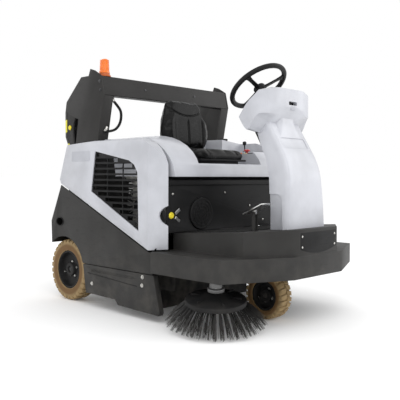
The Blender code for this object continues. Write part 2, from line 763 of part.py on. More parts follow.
def skirt_hinge(side):
    """Top outer edge of a skirt door, on which it swings out."""
    return Vector((side * BODY_HALF_WIDTH, 0.0, SKIRT_TOP - 0.003))


def build_skirt_door(side, word):
    """Door over the end of the main broom, with a grooved face."""
    outline = skirt_outline()
    add(
        f"{word}_skirt_door",
        side_prism(side, outline, BODY_HALF_WIDTH - 0.030, BODY_HALF_WIDTH), dark_grey(), skirt_hinge(side))
    groove = side_box(side, (BODY_HALF_WIDTH - 0.004, BODY_HALF_WIDTH + 0.01), (-0.640, -0.270), (0.196, 0.206))
    cut(bpy.data.objects[f"{word}_skirt_door"], groove)


def deck_section(wall):
    """Front view of the deck: a flat middle that falls to the seams.

    The right wall leans inwards below its seam, so that it clears the panel as the deck tips.
    """
    top = DECK_TOP - wall
    outer = SEAM_X - GAP - wall
    return [(DECK_LEAN - outer, 0.60), (-outer, PANEL_TOP - wall), (-0.250, top), (0.250, top),
            (outer, PANEL_TOP - wall),
            (outer, 0.60)]


WELL = ((-0.255, -1.0, SEAT_PAN_TOP), (0.255, -0.385, 1.05))
CONSOLE = ((WELL[1][0] - GAP, -0.760, 0.850), (0.425, -0.520, 1.05))
DECK_FOOT = 0.716
DECK_LEAN = 0.045


def build_deck():
    """Hinged engine hood that carries the seat, with a wing on each side of it."""
    outline = [(DECK_REAR, DECK_FOOT), (DECK_REAR, DECK_TOP)] + DECK_ARC + [(DECK_FRONT, DECK_FOOT)]
    half = SEAM_X - GAP
    deck = add("seat_deck", extrude(outline, "x", -half, half), light_grey(), DECK_HINGE)
    trim(deck, extrude(deck_section(0.0), "y", -1.0, 0.0))
    walls = [WALL] * len(outline)
    walls[-1] = -0.03
    hollow = hidden("deck_hollow", extrude(offset(outline, walls), "x", -half + WALL, half - WALL))
    trim(hollow, extrude(deck_section(WALL), "y", -1.0, 0.0))
    cut(hollow, grown_box(WELL, WALL), grown_box(CONSOLE, WALL))
    cut(deck, hollow, box(*WELL), box(*CONSOLE))


def grown_box(corners, margin):
    """Box that is larger than two corners by a margin on every side."""
    low, high = Vector(corners[0]), Vector(corners[1])
    step = Vector((margin, margin, margin))
    return box(low - step, high + step)


DECK_HINGE = Vector((SEAM_X, 0.0, PANEL_TOP))
LATCH_X = SEAM_X - 0.035
LATCH_PLACE = Vector((0.0, SEAT_BOX_FRONT - 0.030, 0.522))


def build_seat_box():
    """Dark front panel under the deck, its round vent, and the quarter-turn latch."""
    half = SEAM_X - 0.004
    face = SEAT_BOX_FRONT
    vent_x, vent_z, vent_radius = -0.212, 0.524, 0.085
    foot = PLATFORM_REAR_TOP + 0.006
    outline = [(face, foot), (face, 0.690), (face + 0.020, DECK_FOOT - 0.004), (face + 0.026, DECK_FOOT - 0.004),
               (face + 0.006, 0.688), (face + 0.006, foot)]
    panel = add("seat_box_panel", extrude(outline, "x", -half, half), black_plastic())
    hole = rod((vent_x, face - 0.02, vent_z), (vent_x, face + 0.03, vent_z), vent_radius, 32)
    centre = Vector((-LATCH_X, face, LATCH_PLACE.z))
    knob_hole = rod(centre - Y_AXIS * 0.02, centre + Y_AXIS * 0.03, 0.008 + RUN)
    cut(panel, hole, knob_hole)
    rim = vent_radius - GAP - 0.0005
    vent = turned([(0, -0.010), (0.030, -0.010), (0.066, -0.002), (rim - 0.006, -0.002), (rim, 0.0),
                   (rim, 0.006), (0.062, 0.004), (0.030, -0.004), (0, -0.004)],
                  Y_AXIS, (vent_x, face, vent_z), 32)
    add("vent_cover", vent, black_plastic())
    latch = turned([(0, -0.026), (0.014, -0.026), (0.017, -0.022), (0.017, -0.010), (0.026, -0.010),
                    (0.026, -GAP), (0.008, -GAP), (0.008, 0.020), (0, 0.020)],
                   Y_AXIS, centre, 20)
    add("latch_knob", latch, paint("signal_yellow", (0.8, 0.72, 0.1), 0.4), centre)




# ---------------------------------------------------------------- mast, crossbar and beacon
MAST_FRONT = [(-0.323, MAST_TOP), (-0.346, 1.164), (-0.298, 0.928), (-0.275, 0.580)]


def mast_outline():
    """Side view of a mast plate: hooked top, rear leg and front post."""
    return MAST_FRONT + [
        (-0.020, 0.580), (-0.012, 0.890), (0.015, 0.940), (0.018, 1.086), (0.007, 1.143), (-0.137, 1.273),
        (-0.208, 1.273), (-0.224, 1.310), (-0.262, 1.298),
    ]


def build_mast(side, word):
    """Mast plate with its front flange, slot and pivot hole."""
    plate = add(f"{word}_mast_plate", side_prism(side, mast_outline(), MAST_IN, MAST_OUT), mast_grey())
    lower_front = MAST_FRONT[1:]
    flange = [(y, z) for y, z in lower_front] + [(y + PLATE, z) for y, z in reversed(lower_front)]
    flange[0] = (flange[0][0] + 0.001, CROSSBAR_FOOT - 2 * GAP)
    flange[-1] = (flange[-1][0], CROSSBAR_FOOT - 2 * GAP)
    fuse(plate, side_prism(side, flange, MAST_OUT - 0.068, MAST_OUT - 0.001))
    slot = [(-0.112, 1.040), (-0.080, 1.046), (-0.066, 1.020), (-0.060, 0.985), (-0.064, 0.945), (-0.076, 0.880),
            (-0.084, 0.880)]
    cut(plate, side_prism(side, slot, MAST_IN - 0.01, MAST_OUT + 0.01),
        side_rod(side, MAST_IN - 0.01, MAST_OUT + 0.01, MAST_PIVOT, 0.013 + RUN, 20))


CROSSBAR_FOOT = 1.157


def build_crossbar():
    """Box-section bar between the mast plates, and the beacon that stands on it."""
    depth = 0.072
    outline = [(-0.323, MAST_TOP), (-0.347, CROSSBAR_FOOT), (-0.347 + depth, CROSSBAR_FOOT),
               (-0.323 + depth, MAST_TOP)]
    half = MAST_IN - GAP
    add("mast_crossbar", extrude(outline, "x", -half, half), mast_grey())
    foot = Vector((-half + 0.040, -0.289, MAST_TOP + GAP))
    base = turned([(0, 0), (0.036, 0), (0.036, 0.006), (0.030, 0.012), (0.030, 0.020), (0, 0.020)],
                  Z_AXIS, foot, 24)
    add("beacon_base", base, paint("beacon_foot", (0.35, 0.09, 0.01), 0.4))
    lens = turned([(0, 0.020 + GAP), (0.030, 0.020 + GAP), (0.028, 0.030), (0.026, 0.082), (0.022, 0.094),
                   (0.012, 0.099), (0, 0.100)], Z_AXIS, foot, 24)
    add("beacon_lens", lens, amber())


# ---------------------------------------------------------------- engine bay
def build_engine():
    """Engine on the floor plate, and the muffler beside it."""
    floor = FLOOR_HEIGHT + PLATE + GAP
    engine = add("engine_block", box((-0.300, -0.640, floor), (0.120, -0.330, floor + 0.150)), paint(
        "engine_grey", (0.12, 0.12, 0.12), 0.5, 0.6))
    head = box((-0.240, -0.600, floor + 0.140), (-0.040, -0.400, floor + 0.270))
    fan = rod((-0.290, -0.480, floor + 0.150), (-0.355, -0.480, floor + 0.150), 0.110, 28)
    cleaner = rod((0.030, -0.480, floor + 0.140), (0.030, -0.480, floor + 0.290), 0.070, 20)
    fuse(engine, head, fan, cleaner)
    silencer = turned([(0, 0), (0.036, 0), (0.045, 0.012), (0.045, 0.188), (0.036, 0.200), (0, 0.200)],
                      Y_AXIS, (-0.370, -0.580, floor + 0.325), 20)
    muffler = add("muffler", silencer, bare_steel())
    fuse(muffler, box((-0.376, -0.500, floor), (-0.364, -0.440, floor + 0.300)))


# ---------------------------------------------------------------- wheels and fork
def tyre_profile(radius, width):
    """Closed section of a solid tyre from its bore to its shouldered tread."""
    bore = radius * RIM_RATIO + RUN
    half = width / 2
    shoulder = radius * 0.09
    return [(bore, -half + 0.006), (radius - shoulder, -half), (radius, -half + shoulder * 0.8),
            (radius, half - shoulder * 0.8), (radius - shoulder, half), (bore, half - 0.006)]


def rim_profile(radius, width, bore):
    """Closed section of a dished rim with its hub."""
    outer = radius * RIM_RATIO
    half = width / 2
    return [(bore, -half + 0.014), (bore + 0.018, -half + 0.014), (bore + 0.022, -half + 0.034),
            (outer - 0.014, -half + 0.034), (outer - 0.010, -half + 0.006), (outer, -half + 0.006),
            (outer, half - 0.006), (outer - 0.010, half - 0.006), (outer - 0.014, -half + 0.044),
            (bore + 0.022, -half + 0.044), (bore + 0.022, half - 0.010), (bore, half - 0.010)]


def build_rear_wheel(side, word):
    """Solid tyre and dished rim on the stub axle."""
    centre = Vector((side * (TYRE_OUT + TYRE_IN) / 2, 0.0, REAR_WHEEL_RADIUS))
    inward = X_AXIS * -side
    tyre = turned(tyre_profile(REAR_WHEEL_RADIUS, REAR_TYRE_WIDTH), inward, centre, 40)
    add(f"{word}_rear_tyre", tyre, tan_rubber(), centre)
    rim = turned(rim_profile(REAR_WHEEL_RADIUS, REAR_TYRE_WIDTH, 0.018 + 2 * RUN), inward, centre, 40)
    add(f"{word}_rear_rim", rim, black_plastic(), centre)


def build_front_wheel():
    """Steered fork with its kingpin and wheel motor, and the front wheel on it."""
    centre = KINGPIN + Vector((-FRONT_WHEEL_OFFSET, 0.0, 0.0))
    tyre = turned(tyre_profile(FRONT_WHEEL_RADIUS, FRONT_TYRE_WIDTH), X_AXIS, centre, 36)
    add("front_tyre", tyre, tan_rubber(), centre)
    rim = turned(rim_profile(FRONT_WHEEL_RADIUS, FRONT_TYRE_WIDTH, 0.014 + RUN), X_AXIS, centre, 36)
    add("front_rim", rim, black_plastic(), centre)
    leg = centre.x + FRONT_TYRE_WIDTH / 2 + 0.012
    top = 0.372 - 0.002
    fork = add("front_fork", box((leg, FRONT_AXLE_Y - 0.040, 0.075), (leg + 0.014, FRONT_AXLE_Y + 0.040, top)),
               frame_black(), Vector((0.0, FRONT_AXLE_Y, 0.0)))
    crown = box((-0.060, FRONT_AXLE_Y - 0.045, top - 0.016), (0.060, FRONT_AXLE_Y + 0.045, top))
    kingpin = rod((0, FRONT_AXLE_Y, top - 0.010), (0, FRONT_AXLE_Y, FLOOR_HEIGHT + 0.008), 0.020, 20)
    axle = rod((centre.x - 0.030, centre.y, centre.z), (leg + 0.004, centre.y, centre.z), 0.014, 16)
    motor = rod((leg + 0.010, centre.y, centre.z), (leg + 0.062, centre.y, centre.z), 0.038, 20)
    fuse(fork, crown, kingpin, axle, motor)


# ---------------------------------------------------------------- brooms
def build_main_broom():
    """Main broom across the machine, and the arms that raise and lower it."""
    half = MAIN_BROOM_LENGTH / 2
    arm_out = RAIL_IN - CLEAR
    arm_in = arm_out - PLATE
    core_radius = 0.050
    core = turned([(0, -arm_out), (0.012, -arm_out), (0.012, -arm_in + 0.002), (core_radius, -arm_in + 0.002),
                   (core_radius, arm_in - 0.002), (0.012, arm_in - 0.002), (0.012, arm_out), (0, arm_out)],
                  X_AXIS, BROOM_CENTRE, 20)
    add("broom_core", core, bare_steel(), BROOM_CENTRE)
    bristles = turned([(core_radius + GAP + 0.0004, -half), (MAIN_BROOM_RADIUS, -half), (MAIN_BROOM_RADIUS, half),
                       (core_radius + GAP + 0.0004, half)], X_AXIS, BROOM_CENTRE, 32)
    add("broom_bristles", bristles, bristle_black(), BROOM_CENTRE)
    bar = capsule((BROOM_CENTRE.y, BROOM_CENTRE.z), (BROOM_PIVOT.y, BROOM_PIVOT.z), 0.026)
    arm = add("broom_arm", extrude(bar, "x", -arm_out, -arm_in), frame_black(), BROOM_PIVOT)
    tie = rod(BROOM_PIVOT - X_AXIS * (arm_in + 0.004), BROOM_PIVOT + X_AXIS * (arm_in + 0.004), 0.014)
    pins = [side_rod(side, arm_in + 0.002, RAIL_OUT - 0.002, BROOM_PIVOT, 0.010) for side in (RIGHT, LEFT)]
    fuse(arm, extrude(bar, "x", arm_in, arm_out), tie, *pins)
    cut(arm, rod(BROOM_CENTRE - X_AXIS, BROOM_CENTRE + X_AXIS, 0.012 + RUN, 20))
    face = FLAP_FACE + GAP
    flap = box((-RAIL_IN + 0.010, face, 0.020), (RAIL_IN - 0.010, face + 0.0045, 0.326))
    add("front_rubber_flap", flap, paint("flap_rubber", (0.02, 0.02, 0.02), 0.8))


SIDE_BROOM = Vector((-0.431, FRONT_AXLE_Y + 0.005, 0.0))
SIDE_ARM_PIVOT = Vector((-0.3453, -0.840, 0.303))


def side_broom_disc():
    """Centre of the disc's top: high enough for the lowest tip to clear the ground."""
    tilt = math.radians(SIDE_BROOM_TILT_DEG)
    return SIDE_BROOM + Z_AXIS * (0.155 * math.cos(tilt)) + Z_AXIS * (1.0 - math.cos(tilt)) * 0.1


def build_side_broom():
    """Side broom: swinging arm, motor, disc and splayed bristles on a tilted spindle."""
    disc = side_broom_disc()
    tilt = math.radians(SIDE_BROOM_TILT_DEG)
    fall = disc.z - FLOOR_CLEARANCE - SIDE_BROOM_TIP_RADIUS * math.sin(tilt)
    depth = fall / math.cos(tilt)
    rim = SIDE_BROOM_DISC_RADIUS
    profile = [(0, -0.022), (rim, -0.022), (rim, -0.004), (rim - 0.006, 0.0), (0.070, 0.012), (0.034, 0.030),
               (0.012, 0.030), (0.012, 0.052), (0, 0.052)]
    plate = turned(profile, SIDE_BROOM_AXIS, disc, 32)
    add("broom_disc", plate, black_plastic(), disc)
    tip = SIDE_BROOM_TIP_RADIUS
    cone = turned([(rim - 0.060, -0.022 - GAP), (rim - 0.004, -0.022 - GAP), (tip, -depth), (tip - 0.075, -depth)],
                  SIDE_BROOM_AXIS, disc, 32)
    add("side_bristles", cone, bristle_black(), disc)
    motor = turned(
        [(0, 0.056), (0.012 + RUN, 0.056), (0.012 + RUN, 0.034), (0.040, 0.034), (0.040, 0.050), (0.030, 0.054),
         (0.030, 0.100), (0, 0.100)], SIDE_BROOM_AXIS, disc, 24)
    add("side_broom_motor", motor, bare_steel(), SIDE_ARM_PIVOT)
    top = disc + SIDE_BROOM_AXIS * (0.100 + GAP)
    pad = turned([(0, 0), (0.042, 0), (0.042, 0.008), (0, 0.008)], SIDE_BROOM_AXIS, top, 20)
    arm = add("side_broom_arm", pad, frame_black(), SIDE_ARM_PIVOT)
    pivot = SIDE_ARM_PIVOT
    near, far = pivot.x - 0.012, pivot.x - GAP
    ear = extrude([(pivot.y - 0.030, pivot.z - 0.030), (pivot.y + 0.018, pivot.z - 0.018),
                   (pivot.y + 0.018, pivot.z + 0.018), (pivot.y - 0.030, pivot.z + 0.018)], "x", near, far)
    start = Vector((near + 0.001, pivot.y - 0.025, pivot.z - 0.006))
    end = top + SIDE_BROOM_AXIS * 0.011
    side_step = Vector((0.020, 0.004, 0.0))
    rise = Vector((0.0, 0.0, 0.005))
    loops = []
    for place, step in ((start + Vector((-0.019, 0, 0)), side_step), (end, side_step * 1.4)):
        loops.append([place + step + rise, place - step + rise, place - step - rise, place + step - rise])
    pin = rod((near + 0.002, pivot.y, pivot.z), (-0.334, pivot.y, pivot.z), 0.008)
    fuse(arm, ear, loft(loops), pin)


# ---------------------------------------------------------------- hopper and lift
def build_lift_arm(side, word):
    """Lift arm that hangs from the mast, with its trunnion and cylinder lug."""
    pivot, lug, foot = MAST_PIVOT, lug_place(0.0), HOPPER_PIVOT
    bar = capsule((pivot.y, pivot.z), (foot.y, foot.z), 0.022)
    arm = add(f"{word}_lift_arm", side_prism(side, bar, ARM_IN, ARM_OUT), frame_black(), pivot)
    ear = capsule((pivot.y, pivot.z), (lug.y, lug.z), 0.020)
    fuse(arm, side_prism(side, ear, ARM_IN, ARM_OUT),
         side_rod(side, ARM_OUT - 0.002, MAST_OUT + 0.002, pivot, 0.013, 20),
         side_rod(side, ARM_OUT - 0.001, MAST_IN - 0.001, pivot, 0.024, 20),
         side_rod(side, ARM_IN - 0.014, ARM_IN + 0.001, lug, 0.010))


def build_lift_axle():
    """Tube that ties the lift arms together and carries the hopper."""
    half = ARM_IN - GAP
    add("lift_axle", rod(HOPPER_PIVOT - X_AXIS * half, HOPPER_PIVOT + X_AXIS * half, 0.018, 24), bare_steel(),
        HOPPER_PIVOT)


HOPPER_SIDE = [(-0.200, 0.235), (0.165, 0.235), (0.165, 0.500), (0.030, 0.840), (-0.200, 0.840)]
FLAP_TOP = 0.480


def build_hopper():
    """Debris hopper, open to the broom in front and to the dump flap behind."""
    hopper = add("hopper", extrude(HOPPER_SIDE, "x", -HOPPER_HALF, HOPPER_HALF), dark_grey(), HOPPER_PIVOT)
    inner = extrude(offset(HOPPER_SIDE, WALL), "x", -HOPPER_HALF + WALL, HOPPER_HALF - WALL)
    bearings = []
    for side in (RIGHT, LEFT):
        bearings.append(side_rod(side, HOPPER_HALF - 0.003, ARM_IN - 0.012, HOPPER_PIVOT, 0.030, 24))
    inlet = box((-HOPPER_HALF + 0.020, -0.230, 0.250), (HOPPER_HALF - 0.020, -0.190, 0.370))
    outlet = box((-HOPPER_HALF + 0.020, 0.150, 0.250), (HOPPER_HALF - 0.020, 0.190, FLAP_TOP - 0.020))
    tube = rod(HOPPER_PIVOT - X_AXIS * 0.6, HOPPER_PIVOT + X_AXIS * 0.6, 0.018 + RUN, 24)
    fuse(hopper, *bearings)
    cut(hopper, inner, inlet, outlet, tube)
    hinge = Vector((0.0, HOPPER_SIDE[2][0] + 0.006, FLAP_TOP))
    flap = add("dump_flap", box((-HOPPER_HALF + 0.004, hinge.y - 0.006 + GAP, 0.240),
                                (HOPPER_HALF - 0.004, hinge.y, FLAP_TOP)), dark_grey(), hinge)
    fuse(flap, rod((-0.30, hinge.y - 0.006 + GAP + 0.007, FLAP_TOP - 0.004), (0.30, hinge.y - 0.006 + GAP + 0.007,
                                                                             FLAP_TOP - 0.004), 0.007, 12))


def build_cylinder(side, word):
    """Lift cylinder: barrel pinned to the frame and chromed rod that reaches the lug."""
    base, lug = cylinder_base(), lug_place(0.0)
    bar_x = side * CYLINDER_X
    foot = Vector((bar_x, base.y, base.z))
    head = Vector((bar_x, lug.y, lug.z))
    closed = (lug_place(LIFT_SWEEP_DEG) - base).length
    barrel_top = base.z + closed - 0.045
    barrel = add(f"{word}_cylinder_barrel", turned(
        [(0, 0.012), (0.018, 0.012), (0.018, barrel_top - base.z), (0.009 + RUN, barrel_top - base.z),
         (0.009 + RUN, 0.040), (0, 0.040)], Z_AXIS, foot, 20), black_plastic(), foot)
    fuse(barrel, side_rod(side, CYLINDER_X - 0.013, CYLINDER_X + 0.013, base, 0.0195, 18))
    cut(barrel, side_rod(side, CYLINDER_X - 0.05, CYLINDER_X + 0.05, base, 0.008 + RUN))
    stroke = lug_place(0.0).z - base.z - closed
    rod_foot = base.z + 0.046 + stroke
    piston = add(f"{word}_cylinder_rod", rod((bar_x, base.y, rod_foot), head, 0.009, 20), bare_steel(), head)
    fuse(piston, side_rod(side, CYLINDER_X - 0.012, ARM_IN - 0.014 - GAP, lug, 0.016))


# ---------------------------------------------------------------- seat and controls
SEAT_FRONT, SEAT_REAR, SEAT_TOP = -0.790, -0.475, 0.860
BACK_HINGE = Vector((0.0, -0.470, 0.850))


def build_seat():
    """Seat on its slide, with a backrest that tips forward."""
    pan = SEAT_PAN_TOP + GAP
    slide = add("seat_slide", box((-0.150, SEAT_FRONT + 0.05, pan), (0.150, SEAT_REAR + 0.03, pan + 0.016)),
                frame_black())
    ears = []
    for side in (RIGHT, LEFT):
        ears.append(side_prism(side, [(SEAT_REAR - 0.002, pan + 0.008), (BACK_HINGE.y + 0.030, pan + 0.008),
                                      (BACK_HINGE.y + 0.014, BACK_HINGE.z + 0.012),
                                      (BACK_HINGE.y - 0.002, BACK_HINGE.z + 0.012)], 0.122, 0.130))
    fuse(slide, *ears)
    cushion_top = SEAT_TOP
    rows = [(pan + 0.016 + GAP, 0.030), (pan + 0.030, 0.0), (cushion_top - 0.020, 0.0), (cushion_top, 0.028)]
    loops = [[(x, y, z) for x, y in seat_plan(inset)] for z, inset in rows]
    add("seat_cushion", loft(loops), black_vinyl())
    levels = [(0.885, 0.165, -0.495), (0.960, 0.198, -0.492), (1.050, 0.190, -0.482), (1.120, 0.160, -0.472),
              (1.172, 0.100, -0.462)]
    back = add("seat_backrest", loft([back_loop(*level) for level in levels]), black_vinyl(), BACK_HINGE)
    brackets = [side_prism(side, [(-0.4775, 0.838), (-0.440, 0.838), (-0.440, 0.900), (-0.4775, 0.900)],
                           0.1305, 0.138) for side in (RIGHT, LEFT)]
    fuse(back, *brackets)


def seat_plan(inset):
    """Plan of the cushion with rounded front corners."""
    half = SEAT_HALF_WIDTH - inset
    radius = 0.060
    front, rear = SEAT_FRONT + inset, SEAT_REAR - 0.012
    right = [(half, rear)] + arc((half - radius, front + radius), (radius, radius), 0, -90, 4)
    return right + [(-x, y) for x, y in reversed(right)]


def back_loop(z, half, front):
    """One level of the backrest: a shallow wrap-round section."""
    thick = 0.070
    wing = 0.020
    return [(-half, front - wing * 0.2, z), (-half * 0.6, front + 0.006, z), (half * 0.6, front + 0.006, z),
            (half, front - wing * 0.2, z), (half * 0.94, front + thick * 0.7, z), (half * 0.5, front + thick, z),
            (-half * 0.5, front + thick, z), (-half * 0.94, front + thick * 0.7, z)]


LEVER_PIVOT = Vector((0.375, -0.600, CONSOLE[0][2] + 0.008))
BUTTON_PLACE = Vector((0.300, -0.680, CONSOLE[0][2]))
BUTTON_STEM = 0.008
PEDAL_PIVOT = Vector((-0.215, FRONT_AXLE_Y - 0.050, 0.540))
BRAKE_PIVOT = Vector((0.215, FRONT_AXLE_Y - 0.060, 0.520))


def build_controls():
    """Hopper lever and emergency button on the console, and the two pedals."""
    lever = add("hopper_lever", rod(LEVER_PIVOT - X_AXIS * 0.012, LEVER_PIVOT + X_AXIS * 0.012, 0.0075, 12),
                black_plastic(), LEVER_PIVOT)
    top = LEVER_PIVOT + Vector((0.0, 0.004, 0.060))
    knob = turned([(0, -0.012), (0.008, -0.010), (0.011, 0.002), (0.008, 0.012), (0, 0.014)], Z_AXIS, top, 14)
    fuse(lever, rod(LEVER_PIVOT, top, 0.004, 10), knob)
    button = turned([(0, 0.0055), (BUTTON_STEM, 0.0055), (BUTTON_STEM, 0.0110), (0.019, 0.0120), (0.019, 0.021),
                     (0.014, 0.027), (0, 0.028)], Z_AXIS, BUTTON_PLACE, 20)
    add("emergency_button", button, signal_red(), BUTTON_PLACE)
    build_pedal("accelerator_pedal", PEDAL_PIVOT, 0.040)
    build_pedal("brake_pedal", BRAKE_PIVOT, 0.036)


def build_pedal(name, pivot, half):
    """Rocking foot plate on a post with its hinge ear."""
    slope = 0.45
    reach_front, reach_rear = 0.070, 0.085
    thick = 0.005
    lift = 0.020
    outline = [(pivot.y - reach_front, pivot.z + lift + reach_front * slope),
               (pivot.y + reach_rear, pivot.z + lift - reach_rear * slope),
               (pivot.y + reach_rear + 0.004, pivot.z + lift - reach_rear * slope - 0.020),
               (pivot.y + reach_rear - 0.002, pivot.z + lift - reach_rear * slope - 0.020),
               (pivot.y + reach_rear - 0.006, pivot.z + lift - reach_rear * slope - thick),
               (pivot.y - reach_front, pivot.z + lift + reach_front * slope - thick)]
    pedal = add(name, extrude(outline, "x", pivot.x - half, pivot.x + half), bare_steel(), pivot)
    ear = extrude(capsule((pivot.y, pivot.z), (pivot.y, pivot.z + lift), 0.008), "x",
                  pivot.x - 0.006, pivot.x + 0.006)
    fuse(pedal, ear)
    cut(pedal, rod(pivot - X_AXIS * 0.05, pivot + X_AXIS * 0.05, 0.004 + RUN, 12))


def build_pedal_posts():
    """Post under each pedal: two cheeks and the pin that the pedal rocks on."""
    for pivot in (PEDAL_PIVOT, BRAKE_PIVOT):
        foot = platform_top(pivot.y) - 0.002
        cheeks = []
        for side in (RIGHT, LEFT):
            low, high = sorted((pivot.x + side * 0.0075, pivot.x + side * 0.0135))
            cheeks.append(box((low, pivot.y - 0.009, foot), (high, pivot.y + 0.009, pivot.z + 0.007)))
        pin = rod(pivot - X_AXIS * 0.012, pivot + X_AXIS * 0.012, 0.004, 12)
        fuse(bpy.data.objects["front_bumper"], *cheeks, pin)


def build_console_base():
    """Bosses on the deck's console: the lever's fork and the button's collar."""
    deck = bpy.data.objects["seat_deck"]
    floor = CONSOLE[0][2] - 0.002
    shapes = []
    for side in (RIGHT, LEFT):
        low, high = sorted((LEVER_PIVOT.x + side * 0.0125, LEVER_PIVOT.x + side * 0.018))
        shapes.append(box((low, LEVER_PIVOT.y - 0.012, floor),
                          (high, LEVER_PIVOT.y + 0.012, LEVER_PIVOT.z + 0.010)))
    bore = BUTTON_STEM + RUN
    collar = [(0, -0.003), (0.016, -0.003), (0.016, 0.0065), (bore, 0.0065), (bore, 0.001), (0, 0.001)]
    shapes.append(turned(collar, Z_AXIS, BUTTON_PLACE, 20))
    fuse(deck, *shapes)


# ---------------------------------------------------------------- hydraulic hose
HOSE_ROUTE = [
    (-0.418, -0.310, 1.1564), (-0.418, -0.310, 1.148), (-0.418, -0.311, 1.140), (-0.402, -0.328, 1.112),
    (-0.386, -0.343, 1.078), (-0.384, -0.345, 1.040), (-0.394, -0.343, 1.003), (-0.416, -0.336, 0.975),
    (-0.444, -0.325, 0.964), (-0.460, -0.316, 0.962), (-0.464, -0.3082, 0.961),
]


def smooth_route(points, steps):
    """Points of a smooth curve through a route, by Catmull-Rom blending."""
    padded = [points[0]] + points + [points[-1]]
    route = []
    for i in range(len(points) - 1):
        a, b, c, d = (Vector(point) for point in padded[i:i + 4])
        for step in range(steps):
            t = step / steps
            route.append(0.5 * ((2 * b) + (c - a) * t + (2 * a - 5 * b + 4 * c - d) * t ** 2
                                + (3 * b - a - 3 * c + d) * t ** 3))
    route.append(Vector(points[-1]))
    return route


def build_hose():
    """Hydraulic hose in a short loop in front of the right post, held at both ends."""
    curve = bpy.data.curves.new("hydraulic_hose", "CURVE")
    curve.dimensions = "3D"
    curve.bevel_depth = 0.0075
    curve.bevel_resolution = 2
    curve.use_fill_caps = True
    route = smooth_route(HOSE_ROUTE, 3)
    spline = curve.splines.new("POLY")
    spline.points.add(len(route) - 1)
    for point, place in zip(spline.points, route):
        point.co = (*place, 1.0)
    hose = bpy.data.objects.new("hydraulic_hose", curve)
    bpy.context.scene.collection.objects.link(hose)
    hose.parent = datum
    hose.data.materials.append(black_plastic())


def stand_on_origin():
    """Move the datum so that the origin is under the middle of the machine."""
    bpy.context.view_layer.update()
    graph = bpy.context.evaluated_depsgraph_get()
    low, high = Vector((9, 9, 9)), Vector((-9, -9, -9))
    for item in bpy.context.scene.objects:
        if item.hide_render or item.type not in {"MESH", "CURVE"}:
            continue
        shape = item.evaluated_get(graph)
        mesh = shape.to_mesh()
        for vertex in mesh.vertices:
            place = item.matrix_world @ vertex.co
            low = Vector(map(min, low, place))
            high = Vector(map(max, high, place))
        shape.to_mesh_clear()
    middle = (low + high) / 2
    datum.location = (-middle.x, -middle.y, -low.z)
    bpy.context.view_layer.update()


def main():
    build_frame()
    build_platform()
    build_column()
    build_dash()
    build_steering()
    build_deck()
    build_seat_box()
    build_crossbar()
    build_engine()
    build_front_wheel()
    build_main_broom()
    build_side_broom()
    build_lift_axle()
    build_hopper()
    build_seat()
    build_controls()
    build_pedal_posts()
    build_console_base()
    build_hose()
    for side, word in ((RIGHT, "right"), (LEFT, "left")):
        build_side_panel(side, word)
        build_grille(side, word)
        build_lower_panel(side, word)
        build_skirt_door(side, word)
        build_mast(side, word)
        build_rear_wheel(side, word)
        build_lift_arm(side, word)
        build_cylinder(side, word)
    stand_on_origin()


main()
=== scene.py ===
"""Looks of a ride-on sweeper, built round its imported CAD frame.

Every size is in metres in the frame's own axes: the machine drives towards -Y, the
operator's right is -X and +Z is up. Places on the machine are given from its datum,
which is on the ground under the rear axle, on the centreline.
"""
from __future__ import annotations

import json
import logging
import math
import random
from dataclasses import dataclass, field
from enum import Enum
from functools import cached_property
from typing import Callable, Iterable, Sequence

import bmesh
import bpy
from mathutils import Matrix, Vector


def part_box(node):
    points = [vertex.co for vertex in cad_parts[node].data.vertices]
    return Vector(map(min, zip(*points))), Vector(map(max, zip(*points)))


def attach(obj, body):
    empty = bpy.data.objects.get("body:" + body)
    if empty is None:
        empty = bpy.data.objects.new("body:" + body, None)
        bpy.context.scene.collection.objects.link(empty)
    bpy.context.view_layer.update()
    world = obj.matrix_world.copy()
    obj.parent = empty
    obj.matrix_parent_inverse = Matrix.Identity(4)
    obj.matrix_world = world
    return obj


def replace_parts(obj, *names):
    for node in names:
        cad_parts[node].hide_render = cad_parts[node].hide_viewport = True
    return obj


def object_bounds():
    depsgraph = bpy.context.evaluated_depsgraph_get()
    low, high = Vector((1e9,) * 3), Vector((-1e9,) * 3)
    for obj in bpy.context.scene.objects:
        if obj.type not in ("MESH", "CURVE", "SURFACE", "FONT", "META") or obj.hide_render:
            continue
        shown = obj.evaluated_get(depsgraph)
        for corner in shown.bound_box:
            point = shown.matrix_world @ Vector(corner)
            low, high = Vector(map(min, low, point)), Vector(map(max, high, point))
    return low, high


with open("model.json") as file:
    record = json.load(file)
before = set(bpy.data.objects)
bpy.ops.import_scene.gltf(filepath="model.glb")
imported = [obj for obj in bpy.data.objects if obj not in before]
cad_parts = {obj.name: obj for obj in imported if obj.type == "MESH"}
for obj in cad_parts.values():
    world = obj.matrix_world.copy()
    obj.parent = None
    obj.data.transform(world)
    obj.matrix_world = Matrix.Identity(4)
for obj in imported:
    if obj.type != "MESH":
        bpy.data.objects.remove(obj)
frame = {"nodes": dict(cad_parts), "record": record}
CAD_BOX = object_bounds()
log = logging.getLogger("sweeper")

Point = Sequence[float]
Colour = tuple[float, float, float]


def middle(node: str) -> Vector:
    """Return the middle of a CAD node's box."""
    low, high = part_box(node)
    return (Vector(low) + Vector(high)) / 2


DATUM = Vector((middle("chassis_frame").x, middle("right_rear_rim").y, 0.0))
X_AXIS, Y_AXIS, Z_AXIS = Vector((1, 0, 0)), Vector((0, 1, 0)), Vector((0, 0, 1))
SIDES = (("right", -1), ("left", 1))


def at(x: float, y: float, z: float) -> Vector:
    """Return a place measured from the machine datum in the frame's axes."""
    return DATUM + Vector((x, y, z))


def joint(name: str) -> dict:
    """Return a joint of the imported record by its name."""
    return next(item for item in frame["record"]["behaviour"]["joints"] if item["name"] == name)


